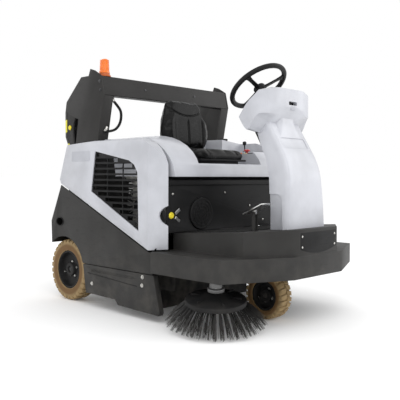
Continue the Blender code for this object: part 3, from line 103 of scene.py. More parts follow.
# ---------------------------------------------------------------- shader maths
class Field:
    """A shader value that Python's operators work on."""

    def __init__(self, graph: "Graph", socket: bpy.types.NodeSocket) -> None:
        """Wrap a socket of the graph."""
        self.graph = graph
        self.socket = socket

    def maths(self, operation: str, *values: "Field | float") -> "Field":
        """Add a Math node.

        Args:
            operation: The Math node's operation.
            values: Its inputs, in order.

        Returns:
            The node's result.
        """
        sockets = dict(enumerate(values))
        return self.graph.add("ShaderNodeMath", {"operation": operation}, sockets)

    def __add__(self, other: "Field | float") -> "Field":
        """Add."""
        return self.maths("ADD", self, other)

    def __sub__(self, other: "Field | float") -> "Field":
        """Subtract."""
        return self.maths("SUBTRACT", self, other)

    def __rsub__(self, other: "Field | float") -> "Field":
        """Subtract from."""
        return self.maths("SUBTRACT", other, self)

    def __mul__(self, other: "Field | float") -> "Field":
        """Multiply."""
        return self.maths("MULTIPLY", self, other)

    def __truediv__(self, other: "Field | float") -> "Field":
        """Divide."""
        return self.maths("DIVIDE", self, other)

    def __pow__(self, other: float) -> "Field":
        """Raise to a power."""
        return self.maths("POWER", self, other)

    __radd__ = __add__
    __rmul__ = __mul__

    def fraction(self) -> "Field":
        """Return what is left over a whole number."""
        return self.maths("FRACT", self)

    def wave(self) -> "Field":
        """Return the sine."""
        return self.maths("SINE", self)

    def above(self, limit: "Field | float") -> "Field":
        """Return 1 where the value is above a limit, and 0 elsewhere."""
        return self.maths("GREATER_THAN", self, limit)

    def between(self, low: float, high: float) -> "Field":
        """Rise smoothly from 0 at low to 1 at high."""
        settings = {"interpolation_type": "SMOOTHSTEP"}
        return self.graph.add("ShaderNodeMapRange", settings, {"Value": self, 1: low, 2: high})


class Graph:
    """A material's nodes, ending in its Principled shader."""

    def __init__(self, name: str) -> None:
        """Start a material with one Principled shader."""
        self.material = bpy.data.materials.new(name)
        self.material.use_nodes = True
        self.tree = self.material.node_tree
        self.shader = self.tree.nodes["Principled BSDF"]

    def add(self, kind: str, settings: dict, sockets: dict, output: int | str = 0) -> Field:
        """Add any node.

        Args:
            kind: The node's type.
            settings: Its own properties, which are set first.
            sockets: A value or a link for each named or numbered input.
            output: Which output to return.

        Returns:
            The output as a field.
        """
        node = self.tree.nodes.new(kind)
        for key, value in settings.items():
            setattr(node, key, value)
        for key, value in sockets.items():
            if isinstance(value, Field):
                self.tree.links.new(value.socket, node.inputs[key])
            else:
                node.inputs[key].default_value = value
        return Field(self, node.outputs[output])

    def place(self, centre: Point = (0, 0, 0), scale: Point = (1, 1, 1)) -> Field:
        """Return Object coordinates, centred on a point and stretched."""
        coordinates = self.add("ShaderNodeTexCoord", {}, {}, "Object")
        shift = tuple(-a * b for a, b in zip(centre, scale))
        return self.add("ShaderNodeMapping", {},
            {"Vector": coordinates, "Location": shift, "Scale": tuple(scale)})

    def axes(self, place: Field) -> tuple[Field, Field, Field]:
        """Split a place into its three numbers."""
        split = self.add("ShaderNodeSeparateXYZ", {}, {0: place})
        outputs = split.socket.node.outputs
        return Field(self, outputs[0]), Field(self, outputs[1]), Field(self, outputs[2])

    def noise(self, place: Field, scale: float, detail: float = 3.0) -> Field:
        """Return fractal noise from 0 to 1."""
        return self.add("ShaderNodeTexNoise", {}, {"Vector": place, "Scale": scale, "Detail": detail})

    def cells(self, place: Field, scale: float) -> Field:
        """Return the distance to the nearest cell centre."""
        return self.add("ShaderNodeTexVoronoi", {}, {"Vector": place, "Scale": scale})

    def mix(self, factor: Field | float, first: Colour | Field, second: Colour | Field) -> Field:
        """Mix two colours."""
        ends = [value if isinstance(value, Field) else (*value, 1.0) for value in (first, second)]
        return self.add("ShaderNodeMix", {"data_type": "RGBA"}, {0: factor, 6: ends[0], 7: ends[1]}, 2)

    def bump(self, height: Field, strength: float, distance: float) -> Field:
        """Turn a height into a normal."""
        return self.add("ShaderNodeBump", {}, {"Height": height, "Strength": strength, "Distance": distance})

    def shade(self, **sockets: Field | float | tuple) -> bpy.types.Material:
        """Set the shader's sockets, with _ for a space, and return the material."""
        for key, value in sockets.items():
            socket = self.shader.inputs[key.replace("_", " ")]
            if isinstance(value, Field):
                self.tree.links.new(value.socket, socket)
            else:
                socket.default_value = value
        return self.material


# ---------------------------------------------------------------- finishes
@dataclass(frozen=True)
class Moulding:
    """Moulded or painted skin: fine grain, a faint cloud in its colour, and dust low down."""

    name: str
    colour: Colour
    roughness: float = 0.45
    grain: float = 700.0
    depth: float = 0.12
    dust: float = 0.0
    metallic: float = 0.0
    coat: float = 0.0
    specular: float = 0.5

    @cached_property
    def material(self) -> bpy.types.Material:
        """Build the material on first use."""
        graph = Graph(self.name)
        place = graph.place()
        height = graph.axes(place)[2]
        grain = graph.noise(place, self.grain, 2.0)
        cloud = graph.noise(place, 5.0, 4.0)
        scuffs = graph.noise(graph.place(scale=(1, 1, 6)), 22.0, 6.0).between(0.56, 0.74)
        low = 1 - height.between(0.02, 0.50)
        film = low * graph.noise(place, 14.0, 6.0).between(0.35, 0.75) * self.dust
        deep = tuple(0.86 * part for part in self.colour)
        pale = tuple(min(1.0, 1.06 * part + 0.004) for part in self.colour)
        skin = graph.mix(cloud.between(0.3, 0.7), deep, pale)
        skin = graph.mix(film, skin, (0.30, 0.27, 0.23))
        rough = scuffs * 0.10 + film * 0.25 + self.roughness
        return graph.shade(
            Base_Color=skin, Roughness=rough, Metallic=self.metallic, Coat_Weight=self.coat,
            Coat_Roughness=0.12, Specular_IOR_Level=self.specular, Normal=graph.bump(grain, self.depth, 0.001),
        )


@dataclass(frozen=True)
class BrushedMetal:
    """Bare metal with fine scratches that run along one axis."""

    name: str
    colour: Colour
    roughness: float = 0.32
    along: Point = (0.04, 1.0, 1.0)

    @cached_property
    def material(self) -> bpy.types.Material:
        """Build the material on first use."""
        graph = Graph(self.name)
        scratches = graph.noise(graph.place(scale=self.along), 620.0, 4.0)
        stain = graph.noise(graph.place(), 26.0, 6.0).between(0.42, 0.72)
        dull = tuple(0.62 * part for part in self.colour)
        rough = scratches * 0.14 + stain * 0.20 + self.roughness
        return graph.shade(
            Base_Color=graph.mix(stain, self.colour, dull), Roughness=rough, Metallic=1.0,
            Normal=graph.bump(scratches, 0.10, 0.0006),
        )


@dataclass(frozen=True)
class TyreRubber:
    """Tan rubber with a darker, dirt-filled ring on the wall and scuffed lugs."""

    name: str
    centre: tuple[float, float, float]
    radius: float
    tread: Colour = (0.320, 0.222, 0.104)
    ring: Colour = (0.150, 0.080, 0.026)

    @cached_property
    def material(self) -> bpy.types.Material:
        """Build the material on first use."""
        graph = Graph(self.name)
        place = graph.place(self.centre)
        _, y, z = graph.axes(place)
        reach = (y * y + z * z) ** 0.5 / self.radius
        mottle = graph.noise(place, 34.0, 6.0)
        band = reach.between(0.62, 0.66) * (1 - (reach + mottle * 0.05).between(0.80, 0.90))
        grime = mottle.between(0.48, 0.78)
        pale = graph.mix(grime, self.tread, tuple(0.55 * part for part in self.tread))
        skin = graph.mix(band, pale, self.ring)
        grain = graph.noise(place, 480.0, 3.0)
        return graph.shade(
            Base_Color=skin, Roughness=mottle * 0.15 + 0.70, Normal=graph.bump(grain + mottle, 0.25, 0.001),
        )


@dataclass(frozen=True)
class Vinyl:
    """Soft seat skin with a pebbled grain and faint creases; streaks along the creases are smoother from wear and
    paler from a painted sheen.
    """

    name: str
    colour: Colour = (0.024, 0.024, 0.024)
    roughness: float = 0.34
    specular: float = 0.32

    @cached_property
    def material(self) -> bpy.types.Material:
        """Build the material on first use."""
        graph = Graph(self.name)
        place = graph.place()
        pebbles = graph.cells(place, 520.0)
        creases = graph.noise(graph.place(scale=(1, 1, 3)), 28.0, 5.0)
        # Streaks along the creases: the lower roughness is real wear, the paler colour (shine) is a painted sheen.
        worn = creases.between(0.5, 0.8)
        shine = tuple(1.9 * part for part in self.colour)
        relief = pebbles * 0.5 + creases * 0.6
        return graph.shade(
            Base_Color=graph.mix(worn, self.colour, shine), Roughness=self.roughness + worn * -0.08,
            Normal=graph.bump(relief, 0.30, 0.0015), Specular_IOR_Level=self.specular,
        )


@dataclass(frozen=True)
class Lens:
    """Tinted plastic that light passes through, ribbed inside."""

    name: str
    colour: Colour
    glow: float = 0.25

    @cached_property
    def material(self) -> bpy.types.Material:
        """Build the material on first use."""
        graph = Graph(self.name)
        place = graph.place()
        height = graph.axes(place)[2]
        ribs = (height * 900.0).wave() * 0.5 + 0.5
        tint = graph.mix(ribs, self.colour, tuple(0.72 * part for part in self.colour))
        return graph.shade(
            Base_Color=tint, Roughness=0.12, Transmission_Weight=0.35, IOR=1.49, Coat_Weight=0.6,
            Emission_Color=tint, Emission_Strength=self.glow, Normal=graph.bump(ribs, 0.2, 0.001),
        )


@dataclass(frozen=True)
class HazardTape:
    """Slanted stripes in two colours."""

    name: str
    pitch: float = 0.034
    bright: Colour = (0.72, 0.66, 0.05)
    dark: Colour = (0.02, 0.02, 0.02)

    @cached_property
    def material(self) -> bpy.types.Material:
        """Build the material on first use."""
        graph = Graph(self.name)
        x, y, z = graph.axes(graph.place())
        stripe = ((x * 1.0 + y * 0.35 + z) / self.pitch).fraction().above(0.5)
        worn = graph.noise(graph.place(), 60.0, 6.0).between(0.62, 0.75)
        skin = graph.mix(worn, graph.mix(stripe, self.bright, self.dark), (0.18, 0.17, 0.12))
        return graph.shade(Base_Color=skin, Roughness=worn * 0.2 + 0.35)


@dataclass(frozen=True)
class Bristle:
    """Stiff black filament with pale streaks towards its tip: partly dust, partly a painted sheen."""

    name: str
    colour: Colour = (0.014, 0.0135, 0.013)
    tip: Colour = (0.080, 0.074, 0.067)
    reach: float = 0.13

    @cached_property
    def material(self) -> bpy.types.Material:
        """Build the material on first use."""
        graph = Graph(self.name)
        place = graph.place()
        height = graph.axes(place)[2]
        streaks = graph.noise(graph.place(scale=(1, 1, 0.12)), 420.0, 3.0)
        # Pale streaks low down: partly dust on the tips, partly a painted sheen on the filaments.
        dust_and_sheen = (1 - height.between(0.0, self.reach)) * streaks.between(0.35, 0.75)
        return graph.shade(
            Base_Color=graph.mix(dust_and_sheen, self.colour, self.tip), Roughness=streaks * 0.2 + 0.45,
            Normal=graph.bump(streaks, 0.25, 0.001),
        )


Finish = Moulding | BrushedMetal | TyreRubber | Vinyl | Lens | HazardTape | Bristle

LIGHT_GREY = Moulding("light_grey_moulding", (0.520, 0.530, 0.570), 0.32, 420.0, 0.04, 0.05, coat=0.2)
PALE_TRIM = Moulding("pale_trim", (0.44, 0.45, 0.49), 0.40, 420.0, 0.05)
DARK_GREY = Moulding("dark_grey_moulding", (0.0295, 0.0287, 0.0275), 0.55, 620.0, 0.22, 0.12, specular=0.22)
BLACK = Moulding("black_moulding", (0.0085, 0.0085, 0.009), 0.50, 620.0, 0.18, 0.05, specular=0.16)
GLOSS_BLACK = Moulding("gloss_black", (0.006, 0.006, 0.007), 0.22, 300.0, 0.02, specular=0.30)
GRIP = Moulding("steering_grip", (0.006, 0.006, 0.0065), 0.46, 900.0, 0.35, specular=0.22)
MAST_COAT = Moulding("mast_powder_coat", (0.0215, 0.0205, 0.0197), 0.46, 520.0, 0.18, 0.03, specular=0.24)
FRAME_COAT = Moulding("frame_paint", (0.010, 0.010, 0.0105), 0.45, 300.0, 0.12, 0.20, specular=0.2)
SHEET_COAT = Moulding("hopper_paint", (0.026, 0.025, 0.024), 0.48, 360.0, 0.12, 0.20, specular=0.24)
RUBBER = Moulding("black_rubber", (0.0095, 0.0095, 0.0095), 0.72, 260.0, 0.30, 0.25, specular=0.2)
CASTING = Moulding("engine_casting", (0.20, 0.20, 0.20), 0.50, 240.0, 0.45, 0.1, metallic=0.6)
ZINC = BrushedMetal("zinc_plate", (0.62, 0.61, 0.58), 0.30)
BRIGHT = BrushedMetal("bright_sheet", (0.72, 0.72, 0.71), 0.24, (1.0, 0.05, 1.0))
CHROME = BrushedMetal("polished_rod", (0.82, 0.82, 0.84), 0.07, (1.0, 1.0, 0.05))
BOLT_STEEL = BrushedMetal("dark_bolt", (0.12, 0.12, 0.125), 0.40)
SEAT_VINYL = Vinyl("seat_vinyl", (0.0060, 0.0060, 0.0060), 0.27, 0.14)
PIPING = Vinyl("seat_piping", (0.012, 0.012, 0.012), 0.32, 0.2)
AMBER = Lens("amber_lens", (0.86, 0.20, 0.004), 0.22)
TAIL_RED = Lens("tail_lamp_red", (0.60, 0.010, 0.010), 0.10)
BEACON_FOOT = Moulding("beacon_foot", (0.45, 0.085, 0.004), 0.35, 300.0, 0.05)
SIGNAL_RED = Moulding("signal_red", (0.55, 0.010, 0.014), 0.28, 300.0, 0.03, coat=0.4)
SIGNAL_YELLOW = Moulding("signal_yellow", (0.80, 0.66, 0.03), 0.36, 300.0, 0.05)
HAZARD = HazardTape("hazard_tape", 0.145)
SIDE_BRISTLE = Bristle("side_broom_filament")
MAIN_BRISTLE = Bristle("main_broom_filament", reach=0.20)
GLASS_DIAL = Moulding("dial_face", (0.75, 0.76, 0.76), 0.12, 200.0, 0.0, coat=0.8)


# ---------------------------------------------------------------- modelling helpers
def deselect() -> None:
    """Leave edit mode and select nothing."""
    if bpy.context.object and bpy.context.object.mode != "OBJECT":
        bpy.ops.object.mode_set(mode="OBJECT")
    bpy.ops.object.select_all(action="DESELECT")


def pick(piece: bpy.types.Object) -> bpy.types.Object:
    """Select one object and make it the active one."""
    deselect()
    piece.select_set(True)
    bpy.context.view_layer.objects.active = piece
    return piece


def edit(piece: bpy.types.Object) -> None:
    """Enter edit mode on one object with all of its mesh selected."""
    pick(piece)
    bpy.ops.object.mode_set(mode="EDIT")
    bpy.ops.mesh.select_all(action="SELECT")


def leave_edit() -> None:
    """Return to object mode."""
    bpy.ops.object.mode_set(mode="OBJECT")


def settle(piece: bpy.types.Object) -> bpy.types.Object:
    """Apply a piece's place, turn and scale to its mesh."""
    pick(piece)
    bpy.ops.object.transform_apply(location=True, rotation=True, scale=True)
    return piece


def modify(piece: bpy.types.Object, kind: str, **settings: object) -> bpy.types.Object:
    """Add a modifier with its settings and apply it."""
    pick(piece)
    modifier = piece.modifiers.new(kind.title(), kind)
    for key, value in settings.items():
        setattr(modifier, key, value)
    bpy.ops.object.modifier_apply(modifier=modifier.name)
    return piece


def soften(piece: bpy.types.Object, width: float, segments: int = 2, limit: float = 35.0) -> bpy.types.Object:
    """Round a piece's sharp edges."""
    return modify(piece, "BEVEL", width=width, segments=segments, limit_method="ANGLE",
                  angle_limit=math.radians(limit), use_clamp_overlap=True)


def smooth(piece: bpy.types.Object, angle: float = 34.0) -> bpy.types.Object:
    """Shade smooth, with edges sharper than the angle kept."""
    pick(piece)
    bpy.ops.object.shade_smooth_by_angle(angle=math.radians(angle))
    return piece


def dress(piece: bpy.types.Object, name: str, finish: Finish, body: str) -> bpy.types.Object:
    """Name a finished piece, give it its material and put it on its body.

    Args:
        piece: The finished object.
        name: Its name.
        finish: What it is made of.
        body: The CAD body that it rides on.

    Returns:
        The piece.
    """
    settle(piece)
    piece.name = name
    piece.data.name = name
    piece.data.materials.clear()
    piece.data.materials.append(finish.material)
    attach(piece, body)
    return piece


def block(low: Point, high: Point, bevel: float = 0.0, segments: int = 2) -> bpy.types.Object:
    """Box between two corners with rounded edges."""
    low, high = Vector(low), Vector(high)
    deselect()
    bpy.ops.mesh.primitive_cube_add(size=1.0, location=(low + high) / 2)
    piece = bpy.context.object
    piece.scale = high - low
    settle(piece)
    if bevel:
        edit(piece)
        bpy.ops.mesh.bevel(offset=bevel, segments=segments, affect="EDGES")
        leave_edit()
    return smooth(piece)


def lofted(loops: Sequence[Sequence[Point]]) -> bpy.types.Object:
    """Skin through loops of equal length: a filled circle that is extruded loop by loop."""
    deselect()
    bpy.ops.mesh.primitive_circle_add(vertices=len(loops[0]), radius=1.0, fill_type="NGON")
    piece = bpy.context.object
    for vertex, point in zip(piece.data.vertices, loops[0]):
        vertex.co = point
    edit(piece)
    for loop in loops[1:]:
        bpy.ops.mesh.extrude_region_move()
        mesh = bmesh.from_edit_mesh(piece.data)
        mesh.verts.index_update()
        face = next(face for face in mesh.faces if face.select)
        order = sorted(face.verts, key=lambda vertex: vertex.index)
        for vertex, point in zip(order, loop):
            vertex.co = point
        mesh.verts.index_update()
        bmesh.update_edit_mesh(piece.data)
    bpy.ops.mesh.select_all(action="SELECT")
    bpy.ops.mesh.normals_make_consistent(inside=False)
    leave_edit()
    return piece


def prism(outline: Sequence[tuple[float, float]], axis: str, low: float, high: float) -> bpy.types.Object:
    """Prism of an outline in datum places: (y, z) for axis x, (x, z) for y and (x, y) for z."""
    spread = {
        "x": lambda a, b, along: at(along, a, b),
        "y": lambda a, b, along: at(a, along, b),
        "z": lambda a, b, along: at(a, b, along),
    }[axis]
    return lofted([[spread(a, b, along) for a, b in outline] for along in (low, high)])


def turned(steps: Sequence[tuple[float, float]], direction: Point, place: Point, segments: int = 24,
           turn: float = 0.0) -> bpy.types.Object:
    """Solid of revolution: (radius, height) steps along a direction from a place."""
    loops = []
    for radius, height in steps:
        radius = max(radius, 0.0004)
        ring = []
        for step in range(segments):
            angle = 2 * math.pi * step / segments + turn
            ring.append((radius * math.cos(angle), radius * math.sin(angle), height))
        loops.append(ring)
    piece = lofted(loops)
    piece.matrix_world = Matrix.Translation(place) @ Z_AXIS.rotation_difference(Vector(direction)).to_matrix().to_4x4()
    return smooth(settle(piece))


def tube(points: Sequence[Point], radius: float, sides: int = 2, cyclic: bool = False) -> bpy.types.Object:
    """Round tube along a smooth line through points, as a mesh."""
    deselect()
    curve = bpy.data.curves.new("line", "CURVE")
    curve.dimensions = "3D"
    curve.bevel_depth = radius
    curve.bevel_resolution = sides
    curve.use_fill_caps = True
    spline = curve.splines.new("POLY")
    spline.points.add(len(points) - 1)
    for spot, point in zip(spline.points, points):
        spot.co = (*point, 1.0)
    spline.use_cyclic_u = cyclic
    piece = bpy.data.objects.new("line", curve)
    bpy.context.scene.collection.objects.link(piece)
    pick(piece)
    bpy.ops.object.convert(target="MESH")
    return smooth(bpy.context.object, 60)


def joined(pieces: Iterable[bpy.types.Object]) -> bpy.types.Object:
    """Join pieces into one object."""
    pieces = list(pieces)
    pick(pieces[0])
    for piece in pieces:
        piece.select_set(True)
    if len(pieces) > 1:
        bpy.ops.object.join()
    return bpy.context.object


def copied(piece: bpy.types.Object, place: Matrix) -> bpy.types.Object:
    """Copy a piece with its own mesh, moved by a matrix."""
    twin = piece.copy()
    twin.data = piece.data.copy()
    bpy.context.scene.collection.objects.link(twin)
    twin.data.transform(place)
    return twin


def copy_of(node: str, bevel: float = 0.0, segments: int = 2, clean: bool = True) -> bpy.types.Object:
    """Merged copy of a CAD node with its sharp edges rounded.

    Args:
        node: The CAD node's name.
        bevel: Width of the rounding.
        segments: Steps of the rounding.
        clean: Whether flat faces are merged first.

    Returns:
        The copy, which doesn't ride on anything yet.
    """
    source = frame["nodes"][node]
    piece = bpy.data.objects.new(node + "_skin", source.data.copy())
    bpy.context.scene.collection.objects.link(piece)
    edit(piece)
    bpy.ops.mesh.remove_doubles(threshold=0.00002)
    if clean:
        bpy.ops.mesh.dissolve_limited(angle_limit=math.radians(0.8))
    leave_edit()
    if bevel:
        soften(piece, bevel, segments)
    return smooth(piece)


BODY_OF = {node: body for body, nodes in frame["record"]["behaviour"]["bodies"].items() for node in nodes}


def refine(node: str, finish: Finish, bevel: float, segments: int = 2, clean: bool = True) -> bpy.types.Object:
    """Show a CAD node as a merged copy with rounded edges."""
    piece = dress(copy_of(node, bevel, segments, clean), node + "_skin", finish, BODY_OF[node])
    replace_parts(piece, node)
    return piece


def keep(node: str, finish: Finish) -> None:
    """Show a CAD node as it is, with a finish."""
    item = frame["nodes"][node]
    item.data.materials.clear()
    item.data.materials.append(finish.material)


def arc(centre: Point, radii: Point, start: float, end: float, count: int) -> list[tuple[float, float]]:
    """Points of an ellipse from a start angle to an end angle, in degrees."""
    angles = [math.radians(start + (end - start) * step / count) for step in range(count + 1)]
    return [(centre[0] + radii[0] * math.cos(a), centre[1] + radii[1] * math.sin(a)) for a in angles]


def rounded_box(half_width: float, half_height: float, radius: float,
    count: int = 4) -> list[tuple[float, float]]:
    """Outline of a rectangle with round corners about its own middle."""
    across, up = half_width - radius, half_height - radius
    corners = ((across, up, 0), (-across, up, 90), (-across, -up, 180), (across, -up, 270))
    return [point for x, z, start in corners
        for point in arc((x, z), (radius, radius), start, start + 90, count)]


class Head(Enum):
    """Shape of a screw's head."""

    HEX = "hex"
    PAN = "pan"


def screw(place: Point, direction: Point, radius: float, head: Head = Head.HEX) -> bpy.types.Object:
    """Screw head on its washer, standing on a face."""
    if head is Head.HEX:
        washer = turned([(radius * 1.5, -0.0004), (radius * 1.5, radius * 0.2), (radius * 1.3, radius * 0.28)],
                        direction, place, 16)
        cap = turned([(radius, radius * 0.2), (radius, radius * 0.8), (radius * 0.86, radius * 0.95)],
                     direction, place, 6)
        return joined([washer, cap])
    return turned([(radius * 1.2, -0.0004), (radius * 1.15, radius * 0.35), (radius * 0.8, radius * 0.62),
                   (radius * 0.35, radius * 0.68), (radius * 0.3, radius * 0.4)], direction, place, 12)


def screws(name: str, places: Iterable[Point], direction: Point, radius: float, body: str,
           finish: Finish | None = None, head: Head = Head.HEX) -> bpy.types.Object:
    """Set of equal screws that face one way, as one piece."""
    heads = [screw(place, direction, radius, head) for place in places]
    return dress(joined(heads), name, finish or BOLT_STEEL, body)


def ease(value: float, low: float, high: float) -> float:
    """Rise smoothly from 0 at low to 1 at high."""
    share = min(1.0, max(0.0, (value - low) / (high - low)))
    return share * share * (3 - 2 * share)


def boolean(piece: bpy.types.Object, tool: bpy.types.Object, operation: str) -> bpy.types.Object:
    """Combine a piece with a tool that is used up."""
    pick(piece)
    modifier = piece.modifiers.new("Boolean", "BOOLEAN")
    modifier.operation = operation
    modifier.solver = "EXACT"
    modifier.object = tool
    bpy.ops.object.modifier_apply(modifier=modifier.name)
    bpy.data.objects.remove(tool)
    return piece


def carve(piece: bpy.types.Object, tool: bpy.types.Object) -> bpy.types.Object:
    """Cut a tool's shape out of a piece."""
    return boolean(piece, tool, "DIFFERENCE")


def union(piece: bpy.types.Object, tool: bpy.types.Object) -> bpy.types.Object:
    """Add a tool's shape to a piece."""
    return boolean(piece, tool, "UNION")


def common(piece: bpy.types.Object, tool: bpy.types.Object) -> bpy.types.Object:
    """Keep what a piece shares with a tool."""
    return boolean(piece, tool, "INTERSECT")


# ---------------------------------------------------------------- body panels
@dataclass
class BodyPanels:
    """Light upper panels, dark lower panels, skirts and grilles."""

    edge: float = 0.004
    face: float = 0.525
    skirt_bolts: tuple[tuple[float, float], ...] = ((-0.275, 0.131), (-0.694, 0.172), (-0.698, 0.214))
    badge: tuple[float, float] = (-0.165, 0.826)

    def build(self) -> None:
        """Show every body panel with rounded edges and its fixings."""
        for word, side in SIDES:
            refine(f"{word}_side_panel", LIGHT_GREY, self.edge, 3)
            refine(f"{word}_lower_panel", DARK_GREY, 0.003)
            refine(f"{word}_skirt_door", DARK_GREY, 0.004)
            refine(f"{word}_grille", BLACK, 0.0012, 1)
            self.add_skirt_details(word, side)
            self.add_hand_hole(word, side)
            self.add_badge(word, side)

    def add_skirt_details(self, word: str, side: int) -> None:
        """Bolts of a skirt door, and a painted groove shadow: a thin black line along its groove."""
        places = [at(side * self.face, y, z) for y, z in self.skirt_bolts]
        screws(f"{word}_skirt_bolts", places, X_AXIS * side, 0.0068, f"{word}_skirt_door", ZINC)
        # Thin black line along the skirt's groove: a painted groove shadow.
        groove_shade_line = [at(side * (self.face - 0.0005), -0.235 - 0.42 * step / 10, 0.186 - 0.024 * step / 10)
                for step in range(11)]
        dress(tube(groove_shade_line, 0.0022, 1), f"{word}_skirt_groove_shade", BLACK, f"{word}_skirt_door")

    def add_hand_hole(self, word: str, side: int) -> None:
        """Raised lip round the hole at the rear of the lower panel."""
        lip = [at(side * self.face, y, z) for y, z in arc((0.040, 0.453), (0.036, 0.024), 0, 345, 23)]
        dress(tube(lip, 0.0030, 2, True), f"{word}_hand_hole_lip", BLACK, "chassis")

    def add_badge(self, word: str, side: int) -> None:
        """Blank plate behind the grille."""
        y, z = self.badge
        outline = [(y + a, z + b) for a, b in rounded_box(0.086, 0.028, 0.008)]
        low, high = sorted((side * (self.face - 0.001), side * (self.face + 0.0012)))
        piece = smooth(prism(outline, "x", low, high))
        dress(piece, f"{word}_blank_plate", PALE_TRIM, "chassis")


# ---------------------------------------------------------------- column and dash
def rounded_levels(levels: Sequence[Sequence[float]], passes: int = 2) -> list[tuple[float, ...]]:
    """Cut the corners of a row of levels so that it bends softly."""
    for _ in range(passes):
        kept = [tuple(levels[0])]
        for first, second in zip(levels, levels[1:]):
            kept.append(tuple(0.75 * a + 0.25 * b for a, b in zip(first, second)))
            kept.append(tuple(0.25 * a + 0.75 * b for a, b in zip(first, second)))
        levels = kept + [tuple(levels[-1])]
    return list(levels)


def column_section(z: float, front: float, rear: float, half: float, corner: float = 0.017,
                   bow: float = 0.007) -> list[Vector]:
    """One level of the column: sharp at the back, soft corners and a bowed face at the front."""
    points = [(half, rear), (half, rear * 0.6 + front * 0.4)]
    points += [(half - corner + corner * math.cos(a),
        front + bow + corner - corner * math.sin(a) - bow * ease(a, 0, 1.57))
               for a in (math.radians(15 * step) for step in range(7))]
    points += [(half * share, front) for share in (0.45, 0.2)]
    points += [(-x, y) for x, y in reversed(points)]
    return [at(x, y, z) for x, y in points]


